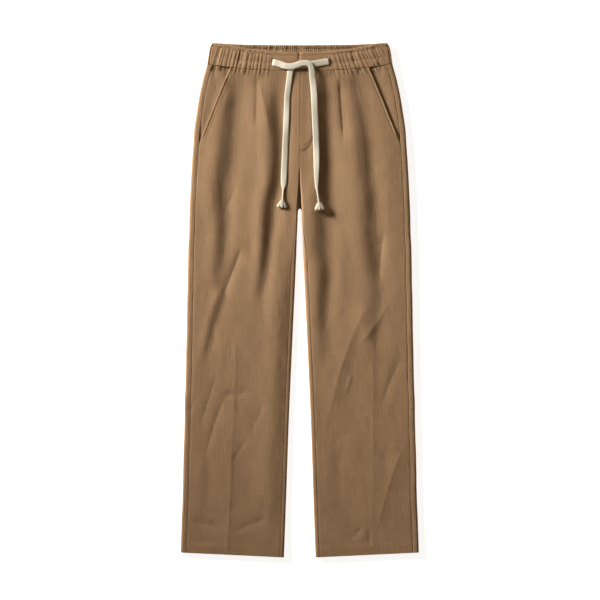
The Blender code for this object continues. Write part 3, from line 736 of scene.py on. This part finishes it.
# %% Small cloth pieces
def hem(side):
    """The turned-up hem: a closed ring inside both panels."""
    y = edged(np.array([0.0]), np.array([HEM_DEPTH]), 9)[:, None]
    leg = Leg(side, y)
    start = leg.front_ends()[0] - GAP / 2
    g = start + np.linspace(0, 1, 221)[:-1] * 2 * leg.width
    x, high, z = leg.point(g, depth=CLOTH + GAP)
    surface = np.stack((side * x, high, z), axis=-1)
    closed = np.concatenate((surface, surface[:, :1]), axis=1)
    facing = normals(closed, ring=True)[:, :-1] * side
    near = from_border(y[0], y[-1], y)
    full = np.sqrt(1 - (1 - np.minimum(near / (HEM_WALL / 2), 1)) ** 2)[..., None] * HEM_WALL / 2
    centre = surface - facing * HEM_WALL / 2
    rings = np.concatenate((centre + facing * full, (centre - facing * full)[-2:0:-1]))
    rings[..., 1] -= OUTSEAM / 2
    tall, wide = rings.shape[:2]
    at = np.arange(tall * wide).reshape(tall, wide)
    up, on = np.roll(at, -1, axis=0), np.roll(at, -1, axis=1)
    both = np.roll(up, -1, axis=1)
    quads = np.stack((at, on, both, up), axis=-1).reshape(-1, 4)
    if side == RIGHT:
        quads = quads[:, ::-1]
    uv = np.stack((np.concatenate((g, g[-2:0:-1])),
                   np.concatenate((y, y[-2:0:-1])) + 0 * rings[..., 0]), axis=-1)
    return make_mesh(f"hem_cloth_{NAMES[side]}", rings.reshape(-1, 3), quads, uv.reshape(-1, 2),
                     LINEN_INSIDE)


def pocket_facing(side):
    """The facing in the pocket mouth: under the front panel, rising to the side seam."""
    y = edged(np.array([POCKET_FOOT - 0.012]), np.array([FRONT_SEAM - GAP / 2]), 40)[:, None]
    leg = Leg(side, y)
    mouth, seam = leg.front_ends()[1], leg.width - SIDE_SEAM - GAP / 2
    g = edged(mouth - POCKET_UNDER, seam, 30)
    x, high, z = leg.point(g)
    shown = smooth(seam - mouth, 0.004, 0.020) * smooth(g, mouth + 0.001, seam)
    z = z - (1 - shown) * (CLOTH + UNDER)
    return shell(f"facing_cloth_{NAMES[side]}", np.stack((side * x, high, z), axis=-1),
                 border(mouth - POCKET_UNDER, seam, g, y), CLOTH, flat_place(g, y), LINEN, side == RIGHT)


def fly_edge(y):
    """The fly's outer edge: straight, then a J that curves in to the centre seam at its foot."""
    low = np.clip(1 - (y - PLACKET_FOOT) / (PLACKET_WIDTH * 1.4), 0, 1)
    return 0.0030 + (PLACKET_WIDTH - 0.0030) * np.sqrt(1 - low ** 2)


def fly_placket():
    y = edged(np.array([PLACKET_FOOT]), np.array([FRONT_SEAM - 0.001]), 70)[:, None]
    start, end = np.full_like(y, 0.0008), fly_edge(y)
    t = np.linspace(0, 1, 26)
    x = start + t * (end - start)
    near = border(start, end, x, y)
    soft = 0.0003 + 0.0004 * np.minimum(near / 0.006, 1)
    z = front_height(x, y) + 0.0001 + soft
    surface = np.stack((x, y + 0 * x, z), axis=-1)
    return shell("fly_cloth", surface, near, FLY_WALL, flat_place(x, y), LINEN)


hems = {side: hem(side) for side in (LEFT, RIGHT)}
facings = {side: pocket_facing(side) for side in (LEFT, RIGHT)}
fly = fly_placket()
print("Made the hems, the pocket facings and the fly")

# %% [markdown]
# ## The casing
#
# The waist casing has three rows between two lines of stitching: a lower row, a channel for the
# elastic, and a ruffle on top. Away from the flat centre front the elastic draws the cloth into
# upright gathers. Each row puffs up between its stitches, and the ruffle has its own finer
# gathers. The back casing shows as a narrow strip of its inside above the front's edge.

# %% Waist casing
STITCH_ROWS = (0.38, 0.80)      # heights of the two lines of stitching, as shares of the depth
BAND_CREASES = rows_of(Fold, (                # strong creases in the casing, in millimetres
    ("crease", -160, 1043, -168, 1021, 0, -0.8, 3, 4, 0.10, 0.15),
    ("crease", -168, 1024, -171, 1004, 0, -0.8, 3, 4, 0.15, 0.10),
    ("crease", 150, 1043, 161, 1021, 0, -0.8, 3, 4, 0.10, 0.15),
    ("crease", 161, 1024, 163, 1002, 0, -0.8, 3, 4, 0.15, 0.10),
    ("crease", -118, 1036, -124, 1004, 0, -0.8, 3, 4, 0.15, 0.20),
    ("crease", 106, 1034, 113, 1004, 0, -0.8, 3, 4, 0.15, 0.20),
    ("crease", -1, 1036, -1, 1008, 0, -1.2, 1.6, 1.6, 0.10, 0.40),
))


GATHER = 0.0012         # height of the gathers over the elastic
RUFFLE = 0.0009         # and of the finer ones above it
PUFF = 0.0005           # each row swells this much between its stitches


def puff(t):
    """1 in the middle of each row of the casing and 0 at its stitches."""
    marks = (0.0, *STITCH_ROWS, 1.0)
    i = np.clip(np.searchsorted(marks, t, side="right") - 1, 0, 2)
    low, high = np.array(marks)[i], np.array(marks)[i + 1]
    return np.sin(math.pi * np.clip((t - low) / (high - low), 0, 1)) ** 0.6


def band_relief(x, y, t):
    """Height of the casing's puffs, gathers and creases over its smooth face."""
    outer = smooth(np.abs(x), 0.056, 0.072) * (1 - 0.8 * smooth(np.abs(x), 0.160, 0.174))
    big = gathers(x, y, 0.0050, 0.0110, 21)
    small = gathers(x, y, 0.0036, 0.0062, 22)
    ruffle = smooth(t, 0.72, 0.88)
    gathered = GATHER * big * (1 - ruffle) + RUFFLE * small * ruffle
    held = 0.55 + 0.45 * puff(t)
    return PUFF * puff(t) + outer * held * gathered + folds(x, y, BAND_CREASES)


def band_frame(t):
    """The casing's outer fold, its thickness and the start of its flat part, for each row."""
    side_y = BACK_SEAM + t * (OUTSEAM - BACK_SEAM)
    half = column(OUTLINE, "outer", side_y)
    middle = 0.5 * column(LEVELS, "fold", side_y)
    return half, middle, half + (math.pi / 2 - 1) * middle


BAND_BASE = 0.0076      # top of the casing's smooth face at the centre front


def band_heights(x, t, on_top):
    """Seam to edge of the front casing, or of the back one, at distance x from the centre."""
    low = np.where(on_top, column(WAIST, "seam", np.abs(x)), BACK_SEAM) + GAP / 2
    edge = np.where(on_top, column(WAIST, "front_edge", np.abs(x)),
                    column(WAIST, "back_edge", np.abs(x)))
    return low + t * (edge - low)


BAND_T = edged(np.array([0.0]), np.array([BAND_DEPTH]), 30)[:, None] / BAND_DEPTH


def waistband_front():
    half, middle, fold = band_frame(BAND_T)
    reach = fold - BAND_SEAM - 2 * GAP
    share = np.linspace(-1, 1, 331)
    fine = [x / 0.178 + np.linspace(-0.0030, 0.0030, 13) / 0.178 for x in SLIT_X]
    share = np.unique(np.concatenate((share, *fine, [-1 + 0.0015, -1 + 0.004, 1 - 0.0015, 1 - 0.004])))
    a = share * reach
    inset = np.maximum(fold - np.abs(a), 0)
    angle = np.minimum(inset / middle, math.pi / 2)
    inward = middle * (1 - np.cos(angle)) + np.maximum(inset - middle * math.pi / 2, 0)
    x = np.sign(a) * (half - inward)
    y = band_heights(x, BAND_T, True)
    lift = np.sin(angle)
    z = middle + lift * (BAND_BASE - middle)
    relief = band_relief(x, y, BAND_T) * lift
    slit = np.zeros(x.shape)
    for centre in SLIT_X:
        wide = 1 - smooth(np.abs(x - centre), 0.0008, 0.0016)
        slit += 0.0022 * wide * (1 - smooth(np.abs(y - SLIT_Y), 0.0065, 0.0080))
    near = np.minimum(from_border(-reach, reach, a), from_border(0, BAND_DEPTH, BAND_T * BAND_DEPTH))
    near = np.minimum(near, 10 * (0.0001 + BAND_T * BAND_DEPTH))
    frill = 0.0008 * smooth(BAND_T, 0.7, 1) * lift * (relief / GATHER - 0.5)
    surface = np.stack((x, y + frill, z + 0.4 * relief), axis=-1)
    uv = flat_place(GATHERED * a, BAND_DEPTH * BAND_T)
    return shell("casing_front", surface, near, BAND, uv, LINEN, out=0.6 * relief - slit)


def waistband_back():
    """The back casing: flat on the surface, turned up round both sides to meet the front."""
    half, middle, fold = band_frame(BAND_T)
    quarter = middle * math.pi / 2
    start = fold - BAND_SEAM + GAP / 2
    end = fold + half + quarter - middle
    side = edged(start, end, 210)[:, :-len(EDGE) + 1]
    side = np.concatenate((side, end), axis=1)
    a = np.concatenate((side, -side[:, -2::-1]), axis=1)
    near_fold = fold - np.abs(a)
    angle = np.minimum(np.abs(near_fold) / middle, math.pi / 2)
    inward = middle * (1 - np.cos(angle)) + np.maximum(np.abs(near_fold) - quarter, 0)
    x = np.sign(a) * (half - inward)
    on_top = near_fold > 0
    y = band_heights(x, BAND_T, on_top)
    lift = np.sin(angle)
    relief = band_relief(x, y, BAND_T) * lift
    fine = gathers(np.abs(x) + 0.02, y, 0.0040, 0.0054, 23) * (0.3 + 0.7 * puff(BAND_T))
    under = 0.0004 * lift * fine
    z = np.where(on_top, middle + lift * (BAND_BASE - middle) + relief, middle * (1 - lift) + under)
    edge = np.minimum(np.abs(a) - (fold - BAND_SEAM + GAP / 2), 1.0)
    near = np.minimum(edge, from_border(0, BAND_DEPTH, BAND_T * BAND_DEPTH))
    inside = np.where(on_top, 0.0, 0.0014 * fine * smooth(np.abs(x), 0.002, 0.010)
                      + 0.0004 * puff(BAND_T))
    surface = np.stack((x, y, z), axis=-1)
    uv = flat_place(GATHERED * a, BAND_DEPTH * BAND_T)
    return shell("casing_back", surface, near, BAND, uv, LINEN_INSIDE, inward=inside)


casing_front, casing_back = waistband_front(), waistband_back()
print("The front casing has", len(casing_front.data.polygons), "faces")

# %% [markdown]
# ## The drawstring
#
# A flat cotton tape comes out of two slits and is tied in a half knot. Each strand is a centre
# line with a width and a thickness at every place. The line rests on the highest cloth across
# the tape's width, and one strand runs over the other at the knot. The tables repeat the part's
# own routes, in metres.

# %% Routes and strands
Route = namedtuple("Route", "x y lift width thick")
STRANDS = {
    LEFT: rows_of(Route, (
        (-0.0558, 1.0100, -0.0016, 0.0126, TAPE),
        (-0.0535, 1.0095, 0.0000, 0.0130, TAPE),
        (-0.0400, 1.0055, 0.0010, 0.0130, TAPE),
        (-0.0270, 1.0012, 0.0025, 0.0126, TAPE),
        (-0.0160, 1.0006, 0.0025, 0.0122, TAPE),
        (-0.0060, 1.0035, 0.0025, 0.0120, TAPE),
        (0.0040, 1.0070, 0.0025, 0.0116, TAPE),
        (0.0130, 1.0078, 0.0025, 0.0112, TAPE),
        (0.0212, 1.0035, 0.0025, 0.0112, TAPE),
        (0.0243, 0.9950, 0.0025, 0.0118, TAPE),
        (0.0258, 0.9800, 0.0022, 0.0128, TAPE),
        (0.0285, 0.9550, 0.0012, 0.0130, TAPE),
        (0.0317, 0.8893, 0.0004, 0.0130, TAPE),
        (0.0336, 0.8400, 0.0002, 0.0126, TAPE),
        (0.0343, 0.8024, 0.0001, 0.0122, TAPE),
        (0.0343, 0.7768, 0.0000, 0.0098, TAPE),
        (0.0346, 0.7564, 0.0000, 0.0064, 0.0022),
        (0.0360, 0.7462, 0.0000, 0.0042, 0.0026),
        (0.0377, 0.7340, 0.0000, 0.0031, 0.0028),
        (0.0390, 0.7245, 0.0000, 0.0040, 0.0032),
    )),
    RIGHT: rows_of(Route, (
        (0.0608, 1.0112, -0.0016, 0.0126, TAPE),
        (0.0585, 1.0110, 0.0000, 0.0130, TAPE),
        (0.0430, 1.0085, 0.0000, 0.0130, TAPE),
        (0.0270, 1.0062, 0.0000, 0.0126, TAPE),
        (0.0110, 1.0050, 0.0000, 0.0120, TAPE),
        (-0.0040, 1.0035, 0.0000, 0.0118, TAPE),
        (-0.0146, 0.9990, 0.0000, 0.0120, TAPE),
        (-0.0196, 0.9880, 0.0000, 0.0120, TAPE),
        (-0.0212, 0.9740, 0.0000, 0.0116, TAPE),
        (-0.0254, 0.9375, 0.0000, 0.0115, TAPE),
        (-0.0283, 0.8650, 0.0000, 0.0118, TAPE),
        (-0.0308, 0.8050, 0.0000, 0.0126, TAPE),
        (-0.0322, 0.7770, 0.0000, 0.0124, TAPE),
        (-0.0330, 0.7610, 0.0000, 0.0108, TAPE),
        (-0.0335, 0.7540, 0.0000, 0.0062, 0.0022),
        (-0.0338, 0.7480, 0.0000, 0.0034, 0.0026),
        (-0.0343, 0.7400, 0.0000, 0.0031, 0.0028),
        (-0.0351, 0.7300, 0.0000, 0.0040, 0.0032),
    )),
}


def cloth_top(x, y):
    """Height of the cloth that the tape lies on: the casing, or the front with its fly."""
    seam = column(WAIST, "seam", np.abs(x)) + GAP / 2
    edge = column(WAIST, "front_edge", np.abs(x))
    t = np.clip((y - seam) / (edge - seam), 0, 1)
    casing = BAND_BASE + band_relief(x, y, t)
    fly_here = (x > 0.0008) & (x < fly_edge(y)) & (y > PLACKET_FOOT)
    front = front_height(x, y) + np.where(fly_here, GAP + PLACKET_WALL, 0.0)
    return np.where(y > seam - 0.002, np.maximum(casing, front), front)


def strand_path(side, steps=230):
    """Centre line of a strand, the direction across it, and its width and thickness."""
    route = STRANDS[side]
    nodes = np.array([row[:2] for row in route])
    chord = np.concatenate(((0,), np.cumsum(np.hypot(*np.diff(nodes, axis=0).T))))
    Place = namedtuple("Place", "s x y lift width thick")
    table = [Place(s, *row) for s, row in zip(chord, route)]
    at = np.linspace(0, chord[-1], steps)
    x, y, lift, width, thick = (column(table, key, at) for key in Place._fields[1:])
    along = np.stack((np.gradient(x), np.gradient(y), 0 * x), axis=-1)
    along /= np.linalg.norm(along, axis=1, keepdims=True)
    across = np.stack((along[:, 1], -along[:, 0], 0 * x), axis=-1)
    spread = np.linspace(-0.55, 0.55, 11)[:, None] * width
    bed = cloth_top(x + spread * across[:, 0], y + spread * across[:, 1]).max(axis=0)
    bed = np.array([bed[max(0, i - 7):i + 8].max() for i in range(steps)])
    bed = np.convolve(np.pad(bed, 8, mode="edge"), np.full(17, 1 / 17), mode="valid")
    z = bed + 0.0001 + thick / 2 + lift
    return np.stack((x, y, z), axis=-1), across, width, thick, at


TAPE_SIDES = 28


def strand(side):
    """A flat tape of 28 sides with rounded edges and a faint groove down its middle."""
    centres, across, width, thick, at = strand_path(side)
    up = np.zeros_like(across)
    up[:, 2] = 1.0
    tilt = 0.10 * lattice(at / 0.045, 0 * at, 41 + int(side))[:, None]      # it rocks a little
    points = tubes(centres[None], (across + tilt * up)[None], (up - tilt * across)[None],
                   width[None], thick[None], TAPE_SIDES, power=0.5)
    points[..., 1] -= OUTSEAM / 2
    quads, caps = tube_quads(1, len(at), TAPE_SIDES)
    turn = np.arange(TAPE_SIDES) * 2 * math.pi / TAPE_SIDES
    flat = 0.0062 * np.sign(np.cos(turn)) * np.abs(np.cos(turn)) ** 0.5
    uv = np.stack(np.broadcast_arrays(flat, at[:, None]), axis=-1).reshape(-1, 2)
    piece = make_mesh(f"strand_{NAMES[side]}", points.reshape(-1, 3), quads[:, ::-1], uv,
                      COTTON, [face[::-1] for face in caps])
    path = centres - np.array([0, OUTSEAM / 2, 0])
    length = float(np.linalg.norm(np.diff(path, axis=0), axis=1).sum())
    print(piece.name, "is", round(1000 * length), "mm long")
    return piece, path, across[-1], length


strands = {side: strand(side) for side in (LEFT, RIGHT)}

# %% [markdown]
# ## Frayed ends
#
# Below a bound neck the tape is frayed into a small tuft. A ribbed bell fills it, so no light
# shows through, and loose threads fan out over the bell. All threads of a tuft are computed at
# once as one array of tubes and joined into one mesh.

# %% Tufts
TuftRow = namedtuple("TuftRow", "down width thick")
TUFT = rows_of(TuftRow, (
    (0.0000, 0.0042, 0.0034),
    (0.0015, 0.0064, 0.0040),
    (0.0040, 0.0104, 0.0046),
    (0.0080, 0.0158, 0.0052),
    (0.0118, 0.0194, 0.0052),
    (0.0146, 0.0186, 0.0044),
    (0.0160, 0.0146, 0.0030),
))
BELL_RINGS, BELL_SIDES = 26, 60
THREADS, THREAD_RINGS, THREAD_SIDES = 120, 8, 5


def tuft(side):
    _, path, across, _ = strands[side]
    rng = np.random.default_rng(50 + int(side))
    end = path[-1]
    along = path[-1] - path[-12]
    along[2] = 0
    along /= np.linalg.norm(along)
    up = np.array([0.0, 0.0, 1.0])
    height = end[2] + 0.0006
    # the bell, with ribs round it
    down = np.linspace(0, TUFT[-1].down, BELL_RINGS) + GAP
    wide, thick = column(TUFT, "width", down - GAP), column(TUFT, "thick", down - GAP)
    turn = np.arange(BELL_SIDES) * 2 * math.pi / BELL_SIDES
    lobes = np.sin(9 * turn + 1.2 * np.sin(2 * turn))
    open_share = ((down - GAP) / TUFT[-1].down)[:, None]
    ribs = 1 + 0.14 * lobes * open_share
    centres = end + down[:, None] * along
    centres[:, 2] = height
    bell = (centres[:, None] + along * (0.0012 * lobes * open_share ** 2)[..., None]
            + across * (wide[:, None] * np.cos(turn) * ribs / 2)[..., None]
            + up * (thick[:, None] * np.sin(turn) * ribs / 2)[..., None])
    bell_quads, bell_caps = tube_quads(1, BELL_RINGS, BELL_SIDES)
    # the threads over it
    s = np.linspace(0, 1, THREAD_RINGS)
    angle = rng.uniform(0, 2 * math.pi, THREADS)
    sideways = np.cos(angle) * rng.uniform(0.2, 1.0, THREADS) ** 0.5
    length = rng.uniform(0.0130, 0.0182, THREADS) * (1 - 0.12 * np.abs(sideways))
    open_out = s ** 0.55
    turns, sway = rng.uniform(0.6, 1.4, (THREADS, 1)), rng.uniform(-1, 1, (THREADS, 1))
    curl = np.sin(math.pi * s[None] * turns) * sway
    reach = 0.0015 + 0.0082 * open_out
    places = (end + np.array([0, 0, height - end[2]]) + along * (GAP + length[:, None] * s)[..., None]
              + across * (sideways[:, None] * reach + 0.0007 * curl)[..., None]
              + up * (np.sin(angle)[:, None] * (0.0017 + 0.0007 * np.sin(math.pi * s)))[..., None])
    run = np.gradient(places, axis=1)
    run /= np.linalg.norm(run, axis=-1, keepdims=True)
    beside = np.cross(run, up)
    beside /= np.linalg.norm(beside, axis=-1, keepdims=True)
    size = np.full(places.shape[:2], 0.00055) * np.array([1, 1, 1, 1, 1, 0.95, 0.8, 0.5])
    hairs = tubes(places, beside, np.cross(beside, run), size, size, THREAD_SIDES)
    hair_quads, hair_caps = tube_quads(THREADS, THREAD_RINGS, THREAD_SIDES)
    shift = bell.reshape(-1, 3).shape[0]
    points = np.concatenate((bell.reshape(-1, 3), hairs.reshape(-1, 3)))
    uv = np.stack((points @ across, points @ along), axis=-1)
    caps = bell_caps + [[i + shift for i in face] for face in hair_caps]
    return make_mesh(f"fringe_{NAMES[side]}", points, np.concatenate((bell_quads, hair_quads + shift)),
                     uv, FRAYED, caps)


tufts = {side: tuft(side) for side in (LEFT, RIGHT)}

# %% [markdown]
# ## Stitches
#
# A stitch is a short bar of thread that sinks into the cloth at both ends. Each row is a line of
# places on the cloth's own surface with one stitch every three millimetres, and all of them go
# into one mesh, because thousands of separate objects would be slow to handle.

# %% Rows of stitches
STITCH, SHOWN = 0.0030, 0.78    # pitch of the stitches, and the share of it that shows
FLY_STITCH = 0.0235             # the fly's stitches, from the centre
FLY_TURN = 0.868                # where they start to curve in, above the hem


def along_line(points, pitch):
    """Middles and directions of stitches placed evenly along a line of points."""
    far = np.concatenate(((0,), np.cumsum(np.linalg.norm(np.diff(points, axis=0), axis=1))))
    middles = np.arange(pitch / 2, far[-1] - pitch / 2, pitch)
    at = np.stack([np.interp(middles, far, points[:, k]) for k in range(3)], axis=-1)
    ahead = np.stack([np.interp(middles + 0.0004, far, points[:, k]) for k in range(3)], axis=-1)
    run = ahead - at
    return at, run / np.maximum(np.linalg.norm(run, axis=1, keepdims=True), 1e-9)


def hem_line(side):
    leg = Leg(side, np.array([[HEM_DEPTH]]))
    start, end = leg.front_ends()[0], 2 * leg.width + leg.inseam
    g = np.linspace(float(start[0, 0]), float(end[0, 0]), 500)[None]
    x, y, z = leg.point(g)
    return np.stack((side * x, y, z), axis=-1)[0]


def pocket_line(side, inset):
    y = np.linspace(POCKET_FOOT + 0.001, FRONT_SEAM - 0.002, 200)[:, None]
    leg = Leg(side, y)
    g = leg.front_ends()[1] - inset
    x, high, z = leg.point(g)
    return np.concatenate((side * x, high, z + 0.0006), axis=1)


def casing_line(t, reach):
    x = np.linspace(-reach, reach, 700)
    y = band_heights(x, t, True)
    return np.stack((x, y, BAND_BASE + band_relief(x, y, t)), axis=-1)


def fly_line():
    """Straight down beside the fly's edge, then round the J to the centre seam."""
    y = np.linspace(FRONT_SEAM - 0.003, FLY_TURN, 60)
    x = np.full(60, FLY_STITCH)
    turn = np.linspace(0, math.pi / 2, 30)[1:]
    x = np.concatenate((x, FLY_STITCH - 0.0215 * (1 - np.cos(turn))))
    y = np.concatenate((y, FLY_TURN - 0.0265 * np.sin(turn)))
    return np.stack((x, y, front_height(x, y) + GAP + PLACKET_WALL), axis=-1)


def bar_line(x, y, dx, dy, height):
    """A bartack: a short dense row across the end of an opening."""
    x, y = np.linspace(x - dx, x + dx, 12), np.linspace(y - dy, y + dy, 12)
    return np.stack((x, y, np.full(12, height)), axis=-1)


def stitches(lines, size):
    """All rows as one mesh. Each line is (points, pitch, share of the pitch that shows)."""
    at, run, length = [], [], []
    for points, pitch, share in lines:
        middles, ways = along_line(points, pitch)
        at.append(middles)
        run.append(ways)
        length.append(np.full(len(middles), pitch * share))
    at, run, length = np.concatenate(at), np.concatenate(run), np.concatenate(length)
    s = np.array([-0.5, -0.3, 0.3, 0.5])
    sink = np.array([-0.00030, 0.00008, 0.00008, -0.00030])
    centres = at[:, None] + run[:, None] * (length[:, None] * s)[..., None]
    below = at[:, 2:] < 0.003               # on the underside a stitch sinks upwards
    centres[..., 2] += np.where(below, -sink, sink)
    ways = np.repeat(run[:, None], 4, axis=1)
    up = np.zeros_like(ways)
    up[..., 2] = 1.0
    beside = np.cross(ways, up)
    beside /= np.maximum(np.linalg.norm(beside, axis=-1, keepdims=True), 1e-9)
    thick = np.broadcast_to(size * np.array([0.7, 1.0, 1.0, 0.7]), centres.shape[:2])
    points = tubes(centres, beside, up, thick, thick, 5)
    points[..., 1] -= OUTSEAM / 2
    quads, caps = tube_quads(len(at), 4, 5)
    flat = points.reshape(-1, 3)[:, :2]
    return make_mesh("stitches", points.reshape(-1, 3), quads, flat, THREAD, caps)


lines = [(hem_line(side), STITCH, SHOWN) for side in (LEFT, RIGHT)]
lines += [(pocket_line(side, inset), STITCH, SHOWN)
          for side in (LEFT, RIGHT) for inset in (0.0018, 0.0068)]
lines += [(casing_line(t, 0.176), 0.0031, 0.75) for t in STITCH_ROWS]
lines += [(fly_line(), STITCH, SHOWN)]
for centre in SLIT_X:
    top = float(cloth_top(np.array([centre - 0.002]), np.array([SLIT_Y]))[0])
    for dx in (-0.0022, 0.0022):
        x, y = np.full(24, centre + dx), np.linspace(SLIT_Y - 0.008, SLIT_Y + 0.008, 24)
        lines.append((np.stack((x, y, np.full(24, top)), axis=-1), 0.0008, 0.9))
for side, x in ((LEFT, 0.1945), (RIGHT, -0.1945)):
    height = float(front_height(np.array([x]), np.array([0.8525]))[0])
    lines.append((bar_line(x, 0.8525, 0.0040, side * 0.0022, height), 0.0009, 0.9))
sewing = stitches(lines, 0.00042)
print("The stitches have", len(sewing.data.polygons), "faces")

# %% [markdown]
# ## How the pieces lie
#
# Everything rides on the one body, and the parts of model.glb that these pieces stand in for are
# hidden.

for side in (LEFT, RIGHT):
    name = NAMES[side]
    for kind, group, slot in (("front_panel", fronts, "linen"), ("back_panel", backs, "linen"),
                              ("hem", hems, "linen"), ("pocket_facing", facings, "linen"),
                              ("tuft", tufts, "cotton_fringe")):
        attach(group[side], "root")
        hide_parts(f"{kind}_{name}")
    piece, path, _, length = strands[side]
    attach(piece, "root")
    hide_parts(f"drawstring_{name}")
for piece, node in ((fly, "fly_placket"), (casing_front, "waistband_front"),
                    (casing_back, "waistband_back")):
    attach(piece, "root")
    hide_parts(node)
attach(sewing, "root")

# %% [markdown]
# ## Floor, light and camera
#
# The garment lies on a white surface that glows faintly, like a light table, so it stays white
# while the cloth keeps its own exposure. The main light is a soft panel up on the left, past the
# waist, and low enough to draw the folds. It is close, so the light falls off towards the hems.

# %% Floor, light and camera
floor_mesh = bpy.data.meshes.new("floor")
floor_mesh.from_pydata([(-6, -6, -0.0004), (6, -6, -0.0004), (6, 6, -0.0004), (-6, 6, -0.0004)],
                       [], [(0, 1, 2, 3)])
floor = bpy.data.objects.new("floor", floor_mesh)
bpy.context.scene.collection.objects.link(floor)
paper = bpy.data.materials.new("white paper")
paper.use_nodes = True
paper_shader = paper.node_tree.nodes["Principled BSDF"]
paper_shader.inputs["Base Color"].default_value = colour("f8f8f6")
paper_shader.inputs["Roughness"].default_value = 0.9
paper_shader.inputs["Specular IOR Level"].default_value = 0.0
paper_shader.inputs["Emission Color"].default_value = colour("ffffff")
paper_shader.inputs["Emission Strength"].default_value = 0.80
floor_mesh.materials.append(paper)


SPREAD = 38             # a grid on the lamp narrows its beam, so it fades towards waist and hem


def area_light(name, place, aim, size, power, tint):
    light = bpy.data.lights.new(name, "AREA")
    light.shape = "DISK"
    light.size = size
    light.energy = power
    light.spread = math.radians(SPREAD)
    light.color = colour(tint)[:3]
    lamp = bpy.data.objects.new(name, light)
    bpy.context.scene.collection.objects.link(lamp)
    lamp.location = place
    way = np.array(aim) - np.array(place)
    flat = math.hypot(way[0], way[1])
    lamp.rotation_euler = (math.atan2(flat, -way[2]), 0, math.atan2(way[1], way[0]) - math.pi / 2)
    return lamp


area_light("key", (-3.2, 2.0, 0.95), (-0.02, 0.17, 0), 1.0, 23, "fbfdff")

world = bpy.data.worlds.new("soft sky")
bpy.context.scene.world = world
world.use_nodes = True
world.node_tree.nodes["Background"].inputs["Color"].default_value = colour("fff0da")
world.node_tree.nodes["Background"].inputs["Strength"].default_value = 0.16

camera_data = bpy.data.cameras.new("camera")
camera_data.lens = 85
camera_data.sensor_width = 36
camera = bpy.data.objects.new("camera", camera_data)
camera.location = (0.0005, 0.0002, 2.896)
bpy.context.scene.collection.objects.link(camera)
bpy.context.scene.camera = camera
bpy.context.scene.view_settings.view_transform = "Standard"
